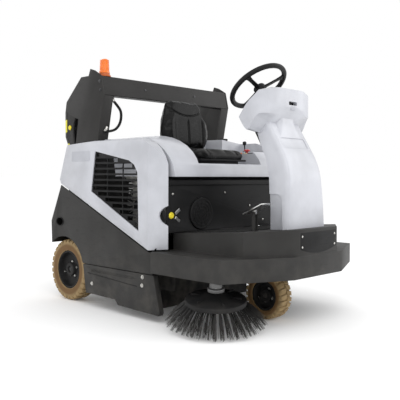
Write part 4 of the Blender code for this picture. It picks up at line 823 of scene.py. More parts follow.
@dataclass
class Column:
    """Steering column cover and dash, with the steering tube and the control panel."""

    levels: tuple[tuple[float, float, float, float], ...] = (
        (0.4600, -1.3196, -1.203, 0.1588), (0.615, -1.317, -1.203, 0.150), (0.770, -1.306, -1.187, 0.138),
        (0.900, -1.230, -1.121, 0.133), (1.000, -1.166, -1.091, 0.130),
    )
    neck: tuple[tuple[float, float, float, float], ...] = (
        (0.900, -1.228, -1.120, 0.118), (0.950, -1.210, -1.110, 0.090), (0.985, -1.202, -1.100, 0.074),
        (1.020, -1.196, -1.100, 0.072),
    )
    dash_side: tuple[tuple[float, float], ...] = (
        (-1.223, 1.155), (-1.175, 1.162), (-1.063, 1.012), (-1.106, 0.944),
        (-1.115, 0.932), (-1.128, 0.927), (-1.145, 0.941), (-1.205, 1.018), (-1.223, 1.068),
    )
    dash_half: float = 0.220
    panel_middle: tuple[float, float] = (-1.119, 1.087)

    def build(self) -> None:
        """Show the column from the floor up."""
        self.add_cover()
        refine("column_rear_cover", BLACK, 0.003)
        self.add_dash()
        panel = refine("control_panel", BLACK, 0.0015)
        self.crown(panel)
        keep("steering_tube", BLACK)
        self.add_controls()

    def add_cover(self) -> None:
        """Light cover with soft front corners, a neck, a blank badge bed and a hollow on each side."""
        cover = lofted([column_section(*level) for level in rounded_levels(self.levels)])
        neck = lofted([column_section(*level, 0.034, 0.012) for level in rounded_levels(self.neck, 1)])
        union(cover, neck)
        plate = rounded_box(0.098, 0.030, 0.010)
        lean = math.atan2(1.306 - 1.230, 0.130)
        badge = lofted([[at(x, -1.2350 + z * math.sin(lean) + depth, 0.884 + z * math.cos(lean))
                         for x, z in plate] for depth in (-0.05, 0.0)])
        carve(cover, badge)
        for side in (-1, 1):
            outline = [(-1.150, 0.40), (-1.290, 0.40), *arc((-1.238, 0.598), (0.038, 0.036), 180, 90, 6),
                (-1.150, 0.634)]
            low, high = sorted((side * 0.143, side * 0.20))
            carve(cover, prism(outline, "x", low, high))
        soften(cover, 0.0025, 2, 40)
        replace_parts(dress(smooth(cover), "column_cover_skin", LIGHT_GREY, "chassis"),
            "column_cover")

    def add_dash(self) -> None:
        """Rounded dash with a slot in its front."""
        dash = prism(self.dash_side, "x", -self.dash_half, self.dash_half)
        half, corner = self.dash_half, 0.075
        left = [(half, -0.915), *arc((half - corner, -1.130), (corner, corner), 0, -75, 8),
            (half * 0.5, -1.215),
                (half * 0.2, -1.222)]
        plan = left + [(-x, y) for x, y in reversed(left)]
        common(dash, prism(plan, "z", 0.85, 1.25))
        edit(dash)
        bpy.ops.mesh.dissolve_limited(angle_limit=math.radians(1.0))
        leave_edit()
        soften(dash, 0.013, 4, 30)
        slot = [(x + 0.012, z + 1.084) for x, z in rounded_box(0.034, 0.009, 0.006)]
        carve(dash, prism(slot, "y", -1.26, -1.196))
        edit(dash)
        bpy.ops.mesh.quads_convert_to_tris(quad_method="BEAUTY", ngon_method="BEAUTY")
        bpy.ops.mesh.subdivide(number_cuts=3)
        leave_edit()
        self.crown(dash)
        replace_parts(dress(smooth(dash, 40), "dash_head_skin", LIGHT_GREY, "chassis"),
            "dash_head")
        tongue = block(at(-0.004, -1.2225, 1.052), at(0.032, -1.208, 1.072), 0.002)
        dress(tongue, "dash_slot_tongue", PALE_TRIM, "chassis")
        lining = block(at(-0.021, -1.2005, 1.0755), at(0.045, -1.1975, 1.0925), 0.001, 1)
        dress(lining, "dash_slot_lining", GLOSS_BLACK, "chassis")

    @staticmethod
    def crown(piece: bpy.types.Object) -> None:
        """Lower the upper corners of the dash at both sides."""
        for vertex in piece.data.vertices:
            place = vertex.co - DATUM
            vertex.co.z -= 0.026 * ease(abs(place.x), 0.09, 0.22) * ease(place.z, 1.06, 1.155)
            chin = (1 - ease(place.z, 0.94, 1.05)) * ease(-place.y, 1.08, 1.19)
            vertex.co.z += 0.062 * ease(abs(place.x), 0.085, 0.205) * chin

    def on_panel(self, across: float, along: float, height: float) -> Vector:
        """Place on the sloping panel: to the left, down the slope and out of it."""
        run = Vector((0.0, 0.598, -0.801))
        out = Vector((0.0, 0.801, 0.598))
        return at(across, *self.panel_middle) + run * along + out * (height + 0.0053)

    def add_controls(self) -> None:
        """Dial, key, rocker switches and lamps on the operator's side of the dash."""
        out = Vector((0.0, 0.801, 0.598))
        bezel = turned([(0.029, 0), (0.029, 0.004), (0.026, 0.006), (0.024, 0.003)], out,
            self.on_panel(0.115, -0.02, 0), 32)
        dress(bezel, "hour_dial_bezel", GLOSS_BLACK, "chassis")
        face = turned([(0.0238, 0.0024), (0.0238, 0.0034)], out, self.on_panel(0.115, -0.02, 0), 32)
        dress(face, "hour_dial_face", GLASS_DIAL, "chassis")
        marks = []
        for step in range(9):
            angle = math.radians(-30 + 30 * step)
            near = self.on_panel(0.115 + 0.017 * math.cos(angle), -0.02 - 0.017 * math.sin(angle), 0.0036)
            far = self.on_panel(0.115 + 0.022 * math.cos(angle), -0.02 - 0.022 * math.sin(angle), 0.0036)
            marks.append(tube([near, far], 0.0005, 0))
        marks.append(tube([self.on_panel(0.115, -0.02, 0.004), self.on_panel(0.103, -0.032, 0.004)], 0.0008, 0))
        dress(joined(marks), "hour_dial_marks", BLACK, "chassis")
        key_place = self.on_panel(-0.150, 0.012, 0)
        key = joined([turned([(0.014, 0), (0.014, 0.004), (0.011, 0.006)], out, key_place, 24),
                      turned([(0.0035, 0.004), (0.0035, 0.014)], out, key_place, 12)])
        dress(key, "key_switch", ZINC, "chassis")
        bow = turned([(0.0135, -0.0015), (0.0135, 0.0015)], X_AXIS, key_place + out * 0.024, 20)
        dress(bow, "key_bow", BLACK, "chassis")
        for index, across in enumerate((-0.105, -0.078, 0.070)):
            loops = []
            for height, width, deep in ((0.0, 0.0100, 0.0170), (0.0035, 0.0096, 0.0164),
                (0.0055, 0.0080, 0.0145)):
                loops.append([self.on_panel(across + x, 0.030 + y, height + 0.0018 * ease(y, -deep, deep))
                              for x, y in rounded_box(width, deep, 0.003)])
            dress(smooth(lofted(loops)), f"rocker_switch_{index + 1}", GLOSS_BLACK, "chassis")
        lamps = {"red": SIGNAL_RED, "amber": AMBER, "yellow": SIGNAL_YELLOW, "clear": GLASS_DIAL}
        for index, (word, finish) in enumerate(lamps.items()):
            lamp = turned([(0.0048, 0), (0.0048, 0.0012), (0.0034, 0.0026), (0.0012, 0.0031)], out,
                          self.on_panel(-0.160 + 0.020 * index, -0.040, 0), 16)
            dress(lamp, f"{word}_lamp", finish, "chassis")


@dataclass
class SteeringWheel:
    """Three-spoke wheel with a moulded grip."""

    hub: Vector = field(default_factory=lambda: at(0.0, -1.008, 1.190))
    radius: float = 0.166
    grip: float = 0.0135

    def build(self) -> None:
        """Show the rim, spokes and hub as one moulding with a cap."""
        turn = Z_AXIS.rotation_difference(Vector(joint("steering_wheel_turn")["axis"])).to_matrix().to_4x4()
        place = Matrix.Translation(self.hub) @ turn
        ring = self.radius - self.grip
        deselect()
        bpy.ops.mesh.primitive_torus_add(major_radius=ring, minor_radius=self.grip, major_segments=96,
            minor_segments=16)
        rim = settle(bpy.context.object)
        for vertex in rim.data.vertices:
            angle = math.atan2(vertex.co.y, vertex.co.x)
            out = Vector((math.cos(angle), math.sin(angle), 0.0))
            core = out * ring
            swell = 1.0 - 0.05 * (0.5 + 0.5 * math.cos(36 * angle)) * (1 if (vertex.co - core).dot(out) < 0 else 0)
            vertex.co = core + (vertex.co - core) * swell
        parts = [rim]
        for angle_deg in (-160, -40, 80):
            angle = math.radians(angle_deg)
            along, wide = Vector((math.cos(angle), math.sin(angle), 0)), Vector((-math.sin(angle),
                math.cos(angle), 0))
            loops = []
            for reach, half, thick, height in ((0.020, 0.0150, 0.0060, -0.018), (0.045, 0.0115, 0.0045, -0.014),
                                               (0.100, 0.0105, 0.0042, -0.007), (0.130, 0.0130, 0.0050, -0.003),
                                               (ring, 0.0240, 0.0070, -0.001)):
                loops.append([along * reach + wide * x + Z_AXIS * (y + height)
                              for x, y in rounded_box(half, thick, thick * 0.8, 3)])
            parts.append(lofted(loops))
        parts.append(turned([(0.026, -0.058), (0.031, -0.034), (0.033, -0.010), (0.030, -0.004),
            (0.024, -0.0015)], Z_AXIS, (0, 0, 0), 32))
        wheel = joined(parts)
        wheel.data.transform(place)
        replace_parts(dress(smooth(wheel, 45), "steering_wheel_skin", GRIP, "steering_wheel"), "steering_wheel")
        cap = turned([(0.0225, -0.0030), (0.0225, -0.0010), (0.0190, 0.0005), (0.0080, 0.0012)], Z_AXIS,
            (0, 0, 0), 32)
        cap.data.transform(place)
        dress(cap, "steering_hub_cap", GLOSS_BLACK, "steering_wheel")


# ---------------------------------------------------------------- seat
def inflate(piece: bpy.types.Object, voxel: float, cap: float, pressure: float = 4.0) -> None:
    """Swell a pad with a short cloth simulation.

    Args:
        piece: A closed mesh, slightly smaller than the pad.
        voxel: Size of the even mesh that it gets first.
        cap: The furthest that a point may move.
        pressure: Air pressure inside it.
    """
    pick(piece)
    piece.data.remesh_voxel_size = voxel
    bpy.ops.object.voxel_remesh()
    rest = [vertex.co.copy() for vertex in piece.data.vertices]
    cloth = piece.modifiers.new("Cloth", "CLOTH")
    cloth.settings.use_pressure = True
    cloth.settings.uniform_pressure_force = pressure
    cloth.settings.effector_weights.gravity = 0.0
    cloth.settings.quality = 5
    for step in range(1, 21):
        bpy.context.scene.frame_set(step)
    pick(piece)
    bpy.ops.object.modifier_apply(modifier="Cloth")
    bpy.context.scene.frame_set(1)
    for vertex, start in zip(piece.data.vertices, rest):
        move = vertex.co - start
        if move.length > cap:
            vertex.co = start + move * (cap / move.length)
    modify(piece, "SMOOTH", factor=0.5, iterations=6)
    modify(piece, "SUBSURF", levels=1, render_levels=1)


@dataclass
class Seat:
    """Moulded-foam seat with bolsters, sewn panels and piping, on its slide."""

    voxel: float = 0.005
    cap: float = 0.012

    def build(self) -> None:
        """Show the seat."""
        refine("seat_slide", FRAME_COAT, 0.001)
        self.add_backrest()
        self.add_cushion()

    @staticmethod
    def back_half(z: float) -> float:
        """Half the backrest's width at a height."""
        rows = ((0.870, 0.150), (0.900, 0.176), (0.940, 0.193), (0.985, 0.197), (1.030, 0.188), (1.070, 0.172),
                (1.100, 0.163), (1.130, 0.158), (1.148, 0.150), (1.160, 0.132), (1.170, 0.095))
        for (low, first), (high, second) in zip(rows, rows[1:]):
            if z <= high:
                return first + (second - first) * max(0.0, (z - low) / (high - low))
        return rows[-1][1]

    def add_backrest(self) -> None:
        """Backrest with side bolsters, a headrest seam and a crease up its middle."""
        loops = []
        for step in range(15):
            z = 0.872 + (1.164 - 0.872) * step / 14
            half = self.back_half(z) - 0.008
            thick = 0.052 * (1 - 0.55 * ease(z, 1.06, 1.17)) + 0.006
            middle_y = -0.455 + 0.020 * ease(z, 0.9, 1.17)
            loop = []
            for angle_step in range(36):
                angle = 2 * math.pi * angle_step / 36
                x = half * math.copysign(abs(math.cos(angle)) ** 0.72, math.cos(angle))
                y = thick / 2 * math.copysign(abs(math.sin(angle)) ** 0.72, math.sin(angle))
                share = abs(x) / half
                if y < 0:
                    y -= 0.016 * ease(share, 0.50, 0.86) * (1 - ease(z, 1.03, 1.09)) * (1 - ease(share,
                        0.93, 1.0))
                loop.append(at(x, middle_y + y, z))
            loops.append(loop)
        back = lofted(loops)
        inflate(back, self.voxel, self.cap)
        seam = self.headrest_seam()
        for vertex in back.data.vertices:
            place = vertex.co - DATUM
            if place.y > -0.44:
                continue
            near = abs(place.z - seam(place.x))
            inside = 1 - ease(abs(place.x), 0.118, 0.150)
            dent = 0.0065 * math.exp(-(near / 0.0042) ** 2) * inside
            crease = 0.0075 * math.exp(-(place.x / 0.0055) ** 2) * ease(place.z, 0.89,
                0.93) * (1 - ease(place.z, 1.015, 1.06))
            side = 0.0016 * math.exp(-((abs(place.x) - 0.108) / 0.006) ** 2) * (1 - ease(place.z, 1.02, 1.08))
            vertex.co.y += dent + crease + side
        dress(smooth(back, 60), "seat_backrest_pad", SEAT_VINYL, "backrest")
        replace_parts(back, "seat_backrest")
        line = [(x / 100, seam(x / 100)) for x in range(-13, 14)]
        self.add_piping("headrest_piping", back, [at(x, 0, z) for x, z in line], Y_AXIS, "backrest")
        shell = []
        for z, half in ((0.872, 0.150), (0.900, 0.164), (0.960, 0.172), (1.040, 0.160), (1.110, 0.128),
            (1.145, 0.090)):
            shell.append([at(half * math.cos(a),
                -0.437 + 0.020 * ease(z, 0.9, 1.17) + (0.040 if math.sin(a) > 0 else 0.006) * math.sin(a) * 0.9, z)
                          for a in (2 * math.pi * k / 28 for k in range(28))])
        shell_piece = smooth(lofted(shell), 50)
        dress(shell_piece, "seat_back_shell", BLACK, "backrest")
        brackets = [block(at(side * 0.134 - 0.0035, -0.477, 0.839),
            at(side * 0.134 + 0.0035, -0.441, 0.902), 0.0015)
                    for side in (-1, 1)]
        dress(joined(brackets), "backrest_brackets", FRAME_COAT, "backrest")

    @staticmethod
    def headrest_seam() -> Callable[[float], float]:
        """Height of the curved headrest seam at a place across."""
        return lambda x: 1.068 + 0.040 * (abs(x) / 0.13) ** 2.2

    def add_piping(self, name: str, pad: bpy.types.Object, line: Sequence[Vector], ray: Vector,
        body: str) -> None:
        """Lay thin piping on a pad's surface along a line."""
        spots = []
        for point in line:
            start = Vector(point) - ray * 2.0
            hit, place, _, _ = pad.ray_cast(start, ray)
            if hit:
                spots.append(place - ray * 0.0003)
        dress(tube(spots, 0.0021, 1), name, PIPING, body)

    def add_cushion(self) -> None:
        """Thin cushion with a rolled front edge and a sewn panel."""
        loops = []
        rows = ((0.8045, 0.030), (0.812, 0.012), (0.826, 0.006), (0.842, 0.010), (0.852, 0.026))
        for z, inset in rows:
            half, front, rear = 0.205 - inset, -0.786 + inset, -0.500 - inset * 0.4
            middle_y, deep = (front + rear) / 2, (rear - front) / 2
            loop = []
            for step in range(48):
                angle = 2 * math.pi * step / 48
                x = half * math.copysign(abs(math.cos(angle)) ** 0.40, math.cos(angle))
                y = middle_y + deep * math.copysign(abs(math.sin(angle)) ** 0.40, math.sin(angle))
                rise = 0.0 if z < 0.82 else 0.010 * ease(abs(x) / half, 0.55, 0.85) + 0.005 * ease(y, -0.60,
                    -0.52)
                loop.append(at(x, y, z + rise * 0.6))
            loops.append(loop)
        pad = lofted(loops)
        inflate(pad, self.voxel, 0.010)
        for vertex in pad.data.vertices:
            place = vertex.co - DATUM
            if place.z > 0.835:
                dent = 0.0045 * math.exp(-((abs(place.x) - 0.112) / 0.006) ** 2) * (1 - ease(place.y, -0.53,
                    -0.50))
                cross = 0.0040 * math.exp(-((place.y + 0.650) / 0.006) ** 2) * (1 - ease(abs(place.x), 0.10,
                    0.125))
                vertex.co.z -= dent + cross
            vertex.co.z = max(vertex.co.z, 0.8022)
        dress(smooth(pad, 60), "seat_cushion_pad", SEAT_VINYL, "seat")
        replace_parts(pad, "seat_cushion")
        base = block(at(-0.185, -0.770, 0.8018), at(0.185, -0.505, 0.812), 0.003)
        dress(base, "seat_pan_rim", BLACK, "seat")


# ---------------------------------------------------------------- wheels and brooms
@dataclass
class Wheel:
    """Solid tan tyre with shoulder lugs on a black rim with nuts."""

    word: str
    body: str
    outward: int
    radius: float
    width: float
    lugs: int = 30
    nuts: int = 5

    def build(self) -> None:
        """Show the tyre, rim and fixings."""
        centre = middle(f"{self.word}_tyre")
        rubber = TyreRubber(f"{self.word}_tyre_rubber", tuple(centre), self.radius)
        carcass = self.radius - 0.0075
        half, bore = self.width / 2, self.radius * 0.62
        profile = [(bore + 0.0015, -half * 0.90), (bore + 0.006, -half * 0.98),
            (bore + 0.30 * (carcass - bore), -half),
                   (carcass - 0.016, -half), (carcass - 0.005, -half + 0.006), (carcass, -half + 0.015)]
        profile += [(radius, -height) for radius, height in reversed(profile)]
        ring = self.band(profile, centre, 72)
        pitch = 2 * math.pi / self.lugs
        lugs = []
        for row in (-1, 1):
            base = self.lug(row, carcass, half, pitch)
            for step in range(self.lugs):
                turn = Matrix.Translation(centre) @ Matrix.Rotation(pitch * (step + 0.25 * row), 4, "X")
                lugs.append(copied(base, turn))
            bpy.data.objects.remove(base)
        tyre = joined([ring, *lugs])
        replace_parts(dress(smooth(tyre, 35), f"{self.word}_tyre_skin", rubber, self.body),
            f"{self.word}_tyre")
        refine(f"{self.word}_rim", BLACK, 0.0015)
        self.add_fixings(centre)

    def band(self, profile: Sequence[tuple[float, float]], centre: Vector, segments: int) -> bpy.types.Object:
        """Ring swept round the axle from a closed profile."""
        deselect()
        bpy.ops.mesh.primitive_circle_add(vertices=len(profile), radius=1.0, fill_type="NOTHING")
        piece = bpy.context.object
        for vertex, (radius, height) in zip(piece.data.vertices, profile):
            vertex.co = (height, 0.0, radius)
        piece.data.transform(Matrix.Translation(centre))
        edit(piece)
        bpy.ops.mesh.spin(steps=segments, angle=2 * math.pi, center=centre, axis=X_AXIS)
        bpy.ops.mesh.select_all(action="SELECT")
        bpy.ops.mesh.remove_doubles(threshold=0.0001)
        bpy.ops.mesh.normals_make_consistent(inside=False)
        leave_edit()
        return piece

    def lug(self, row: int, carcass: float, half: float, pitch: float) -> bpy.types.Object:
        """One shoulder lug, which wraps from the tread onto the wall."""
        inner, outer = row * half * 0.06, row * (half - 0.0005)
        spread = pitch * 0.34
        skew = pitch * 0.22
        loops = []
        for x, low, high, lean in ((inner, carcass - 0.003, self.radius - 0.0006, 0.0),
            (row * half * 0.72, carcass - 0.003, self.radius - 0.0008, skew * 0.6),
                                   (row * half * 0.93, carcass - 0.012, self.radius - 0.0042, skew * 0.9),
                                   (outer, carcass - 0.022, self.radius - 0.0130, skew)):
            loop = []
            for radius, angle in ((low, lean - spread * 1.08), (high, lean - spread), (high, lean + spread),
                (low, lean + spread * 1.08)):
                loop.append(Vector((x, -radius * math.sin(angle), radius * math.cos(angle))))
            loops.append(loop)
        return soften(lofted(loops), 0.0009, 1)

    def add_fixings(self, centre: Vector) -> None:
        """Wheel nuts on their circle, hub cap and valve."""
        direction = X_AXIS * self.outward
        circle = self.radius * 0.245
        face = self.width * 0.12
        places = []
        for step in range(self.nuts):
            angle = 2 * math.pi * (step + 0.25) / self.nuts
            places.append(centre + direction * face + Vector((0, circle * math.cos(angle),
                circle * math.sin(angle))))
        screws(f"{self.word}_nuts", places, direction, 0.0075, self.body, ZINC)
        cap = turned([(0.024, -0.004), (0.024, 0.010), (0.020, 0.015), (0.009, 0.018)], direction,
            centre + direction * face, 32)
        dress(cap, f"{self.word}_hub_cap", GLOSS_BLACK, self.body)
        spot = centre + direction * face + Vector((0, circle * 1.55, -circle * 0.5))
        dress(turned([(0.0035, -0.01), (0.0035, 0.012), (0.0024, 0.014)], direction, spot, 10),
            f"{self.word}_valve", ZINC,
              self.body)


def tuft(rng: random.Random, root: Point, tip: Point, spread: float, strands: int,
    thickness: float = 0.0011) -> list[bpy.types.Object]:
    """Bundle of tapering filaments from a root to a tip."""
    pieces = []
    root, tip = Vector(root), Vector(tip)
    for _ in range(strands):
        start = root + Vector((rng.gauss(0, 1), rng.gauss(0, 1), 0)) * spread * 0.35
        end = tip + Vector((rng.gauss(0, 1), rng.gauss(0, 1), rng.uniform(0.0, 0.9))) * spread
        belly = (start + end) / 2 + Vector((rng.gauss(0, 0.3), rng.gauss(0, 0.3),
            0)) * spread + (end - start).cross(Z_AXIS).cross(end - start).normalized() * 0.004
        loops = []
        for place, size in ((start, 1.0), (belly, 0.9), (end, 0.55)):
            loops.append([place + Vector((math.cos(a), math.sin(a), 0)) * thickness * size
                for a in (0.0, 2.1, 4.2)])
        pieces.append(loops)
    return pieces


def filaments(bundles: Iterable[Sequence[Sequence[Vector]]]) -> bpy.types.Object:
    """Turn filament loops into one mesh."""
    verts, faces = [], []
    for loops in bundles:
        first = len(verts)
        size = len(loops[0])
        for loop in loops:
            verts += [tuple(point) for point in loop]
        for level in range(len(loops) - 1):
            for step in range(size):
                a, b = first + level * size + step, first + level * size + (step + 1) % size
                faces.append((a, b, b + size, a + size))
        faces.append(tuple(first + step for step in reversed(range(size))))
        faces.append(tuple(first + (len(loops) - 1) * size + step for step in range(size)))
    mesh = bpy.data.meshes.new("filaments")
    mesh.from_pydata(verts, [], faces)
    piece = bpy.data.objects.new("filaments", mesh)
    bpy.context.scene.collection.objects.link(piece)
    edit(piece)
    bpy.ops.mesh.normals_make_consistent(inside=False)
    leave_edit()
    return smooth(piece, 60)


@dataclass
class SideBroom:
    """Disc broom with splayed tufts on a tilted spindle."""

    tip: float = 0.232
    rim: float = 0.144
    depth: float = 0.118
    tufts: int = 42
    strands: int = 16
    seed: int = 7

    def build(self) -> None:
        """Show the disc, its tufts and the spindle."""
        spin = joint("side_broom_spin")
        axis = Vector(spin["axis"])
        place = Matrix.Translation(Vector(spin["pos_m"])) @ Z_AXIS.rotation_difference(axis).to_matrix().to_4x4()
        self.add_tufts(place)
        disc = turned([(self.rim, -0.022), (self.rim, -0.005), (self.rim - 0.002, -0.002),
            (self.rim - 0.007, 0.0),
                       (0.118, 0.004), (0.072, 0.012), (0.040, 0.027), (0.034, 0.031), (0.012, 0.031)],
                       Z_AXIS, (0, 0, 0), 72)
        ribs = []
        for step in range(6):
            rib = block((0.034, -0.003, -0.004), (0.120, 0.003, 0.013), 0.001, 1)
            ribs.append(copied(rib, Matrix.Rotation(math.radians(60 * step), 4, "Z")))
            bpy.data.objects.remove(rib)
        disc = joined([disc, *ribs])
        disc.data.transform(place)
        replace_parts(dress(smooth(disc), "broom_disc_skin", BLACK, "side_broom"), "broom_disc")
        hub = turned([(0.028, 0.030), (0.028, 0.036), (0.013, 0.040), (0.012, 0.052)], Z_AXIS, (0, 0, 0), 24)
        hub.data.transform(place)
        dress(hub, "side_broom_hub", ZINC, "side_broom")
        turn = place.to_3x3()
        spots = [place @ Vector((0.021 * math.cos(a), 0.021 * math.sin(a), 0.0362)) for a in (0.4, 2.5, 4.6)]
        screws("side_broom_bolts", spots, turn @ Z_AXIS, 0.0042, "side_broom", ZINC)
        refine("side_broom_motor", CASTING, 0.0015)
        refine("side_broom_arm", FRAME_COAT, 0.001)

    def add_tufts(self, place: Matrix) -> None:
        """Three rings of tufts that splay outwards to the ground."""
        rng = random.Random(self.seed)
        bundles = []
        for root, tip, count in ((0.139, self.tip, self.tufts), (0.126, self.tip - 0.028, self.tufts - 6),
            (0.106, self.tip - 0.060, self.tufts - 14)):
            for step in range(count):
                angle = 2 * math.pi * (step + rng.uniform(-0.18, 0.18)) / count
                out = Vector((math.cos(angle), math.sin(angle), 0.0))
                end = out * (tip + rng.uniform(-0.008, 0.002)) - Z_AXIS * (self.depth - rng.uniform(0.0, 0.010))
                bundles += tuft(rng, out * root - Z_AXIS * 0.0215, end, 0.0052, self.strands)
        brush = filaments(bundles)
        brush.data.transform(place)
        for vertex in brush.data.vertices:
            vertex.co.x = max(vertex.co.x, CAD_BOX[0][0] + 0.0004)
            vertex.co.z = max(vertex.co.z, 0.0022)
        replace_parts(dress(brush, "side_broom_tufts", SIDE_BRISTLE, "side_broom"), "side_bristles")


@dataclass
class MainBroom:
    """Cylinder broom with tufts in helical rows."""

    radius: float = 0.1375
    core: float = 0.050
    half: float = 0.330
    rows: int = 12
    per_row: int = 44
    seed: int = 11

    def build(self) -> None:
        """Show the core and its tufts."""
        refine("broom_core", FRAME_COAT, 0.0)
        refine("broom_arm", FRAME_COAT, 0.001)
        rng = random.Random(self.seed)
        centre = Vector(joint("main_broom_spin")["pos_m"])
        bundles = []
        for row in range(self.rows):
            for step in range(self.per_row):
                x = -self.half + 2 * self.half * (step + 0.5) / self.per_row
                angle = 2 * math.pi * row / self.rows + abs(x) / self.half * 1.1
                out = Vector((0, math.cos(angle), math.sin(angle)))
                wide = Vector((0, -math.sin(angle), math.cos(angle)))
                for _ in range(5):
                    start = centre + X_AXIS * (x + rng.gauss(0,
                        0.0025)) + out * (self.core - 0.004) + wide * rng.gauss(0, 0.0025)
                    end = centre + X_AXIS * (x + rng.gauss(0, 0.006)) + out * (self.radius - rng.uniform(0,
                        0.004)) + wide * rng.gauss(0, 0.007)
                    bundles.append([[spot + (X_AXIS * math.cos(a) + wide * math.sin(a)) * size
                        for a in (0.0, 2.1, 4.2)]
                                    for spot, size in ((start, 0.0016), (end, 0.0009))])
        brush = filaments(bundles)
        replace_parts(dress(brush, "main_broom_tufts", MAIN_BRISTLE, "main_broom"), "broom_bristles")

# ---------------------------------------------------------------- platform and seat box
@dataclass
class Platform:
    """Front platform with its nose plate, foot mat and pedals."""

    plate_half: float = 0.149
    plate_face: float = -1.3864

    def build(self) -> None:
        """Show the platform and what stands on it."""
        refine("front_bumper", DARK_GREY, 0.009, 3)
        self.add_nose_plate()
        self.add_mat()
        for name in ("accelerator_pedal", "brake_pedal"):
            self.add_pedal(name)

    def add_nose_plate(self) -> None:
        """Access plate with a bowed lower edge and its screws."""
        half = self.plate_half
        outline = [(half, 0.378), (half, 0.456), (-half, 0.456), (-half, 0.378)]
        outline += [(half * share, 0.378 - 0.024 * (1 - share * share))
            for share in (-0.75, -0.5, -0.25, 0, 0.25, 0.5, 0.75)]
        plate = soften(prism(outline, "y", self.plate_face, self.plate_face + 0.004), 0.0012, 2)
        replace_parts(dress(smooth(plate), "nose_plate_skin", BLACK, "chassis"),
            "bumper_access_plate")
        places = [at(x * (half - 0.013), self.plate_face + 0.0010, z) for x in (-1, 1) for z in (0.438, 0.388)]
        screws("nose_plate_screws", places, -Y_AXIS, 0.0046, "chassis", ZINC, Head.PAN)

    def add_mat(self) -> None:
        """Ribbed rubber foot mat between the seat box and the column."""
        ribs = []
        for step in range(15):
            y = -0.842 - 0.0225 * step
            z = self.floor(y) + 0.0018
            ribs.append(block(at(-0.335, y - 0.005, z - 0.002), at(0.335, y + 0.005, z + 0.0018), 0.0012, 1))
        dress(joined(ribs), "foot_mat_ribs", RUBBER, "chassis")

    @staticmethod
    def floor(y: float) -> float:
        """Height of the platform's top at a place along the machine."""
        return 0.430 + (0.472 - 0.430) * (-0.770 - y) / 0.615

    def add_pedal(self, name: str) -> None:
        """Pedal in bright sheet with a ribbed rubber pad."""
        piece = refine(name, BRIGHT, 0.0008)
        low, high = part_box(name)
        if name == "accelerator_pedal":
            heel = high[1] - 0.28 * (high[1] - low[1])
            carve(piece, block((low[0] - 0.01, heel, low[2] - 0.01),
                (high[0] + 0.01, high[1] + 0.01, high[2] + 0.01)))
        middle_x = (low[0] + high[0]) / 2
        half = (high[0] - low[0]) / 2 - 0.006
        ribs = []
        for row in range(8):
            y = low[1] + 0.010 + 0.0135 * row
            hit, spot, normal, _ = piece.ray_cast(Vector((middle_x, y, high[2] + 0.2)), -Z_AXIS)
            if hit and normal.z > 0.3:
                ribs.append(block((middle_x - half, y - 0.0035, spot.z - 0.001),
                    (middle_x + half, y + 0.0035, spot.z + 0.0026), 0.001, 1))
        if ribs:
            dress(joined(ribs), name + "_treads", RUBBER, BODY_OF[name])


@dataclass
class SeatBox:
    """Black panel under the seat with its ledge, vent, latch and screws."""

    face: float = -0.800

    def build(self) -> None:
        """Show the panel and its fittings."""
        refine("seat_box_panel", BLACK, 0.002)
        ledge = block(at(-0.448, self.face - 0.010, 0.672), at(0.448, self.face + 0.001, 0.700), 0.004, 3)
        dress(ledge, "seat_box_ledge", BLACK, "chassis")
        seal = block(at(-0.420, -0.779, 0.698), at(0.420, -0.772, 0.7225), 0.002)
        dress(seal, "deck_seal", RUBBER, "chassis")
        places = [at(x, self.face, z) for x,
            z in ((-0.416, 0.629), (-0.029, 0.631), (0.181, 0.554), (0.416, 0.629), (0.30, 0.47))]
        screws("seat_box_screws", places, -Y_AXIS, 0.0050, "chassis", ZINC, Head.PAN)
        self.add_vent()
        self.add_latch()

    def add_vent(self) -> None:
        """Round vent cover with rings and radial ribs."""
        centre = middle("vent_cover")
        centre.y = DATUM.y + self.face
        cover = turned([(0.083, -0.0005), (0.083, 0.004), (0.080, 0.0065), (0.074, 0.0065), (0.072, 0.004),
            (0.030, 0.004)],
                       -Y_AXIS, centre, 56)
        parts = [cover]
        for radius in (0.026, 0.042, 0.058):
            ring = [centre + Vector((radius * math.cos(a), -0.0045, radius * math.sin(a))) for a in
                    (2 * math.pi * step / 40 for step in range(40))]
            parts.append(tube(ring, 0.0022, 1, True))
        spoke = block((-0.070, -0.0065, -0.0018), (0.070, -0.0035, 0.0018), 0.0008, 1)
        for step in range(6):
            turn = Matrix.Translation(centre) @ Matrix.Rotation(math.radians(30 * step), 4, "Y")
            parts.append(copied(spoke, turn))
        bpy.data.objects.remove(spoke)
        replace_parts(dress(smooth(joined(parts)), "vent_cover_skin", BLACK, "chassis"),
            "vent_cover")

    def add_latch(self) -> None:
        """Yellow turn knob on a bright winged plate."""
        knob = joint("latch_turn")
        centre = Vector(knob["pos_m"])
        low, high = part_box("latch_knob")
        radius = 0.017
        parts = [turned([(radius * 0.7, 0), (radius, 0.004), (radius, 0.012), (radius * 0.8, 0.017),
            (radius * 0.3, 0.0185)],
                        -Y_AXIS, (centre.x, high[1] - 0.008, centre.z), 28)]
        for step in range(8):
            angle = math.radians(45 * step)
            spot = Vector((centre.x + radius * math.cos(angle), high[1] - 0.015,
                centre.z + radius * math.sin(angle)))
            parts.append(turned([(0.003, -0.005), (0.003, 0.005)], -Y_AXIS, spot, 8))
        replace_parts(dress(smooth(joined(parts)), "latch_knob_skin", SIGNAL_YELLOW, "latch_knob"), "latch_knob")
        wings = []
        for angle_deg in (35, -35):
            wing = block((0.016, -0.0016, -0.0075), (0.052, 0.0016, 0.0075), 0.001, 1)
            turn = Matrix.Translation((centre.x, low[1] + 0.010,
                centre.z)) @ Matrix.Rotation(math.radians(angle_deg), 4, "Y")
            wings.append(copied(wing, turn))
            bpy.data.objects.remove(wing)
        dress(joined(wings), "latch_wings", BRIGHT, "latch_knob")


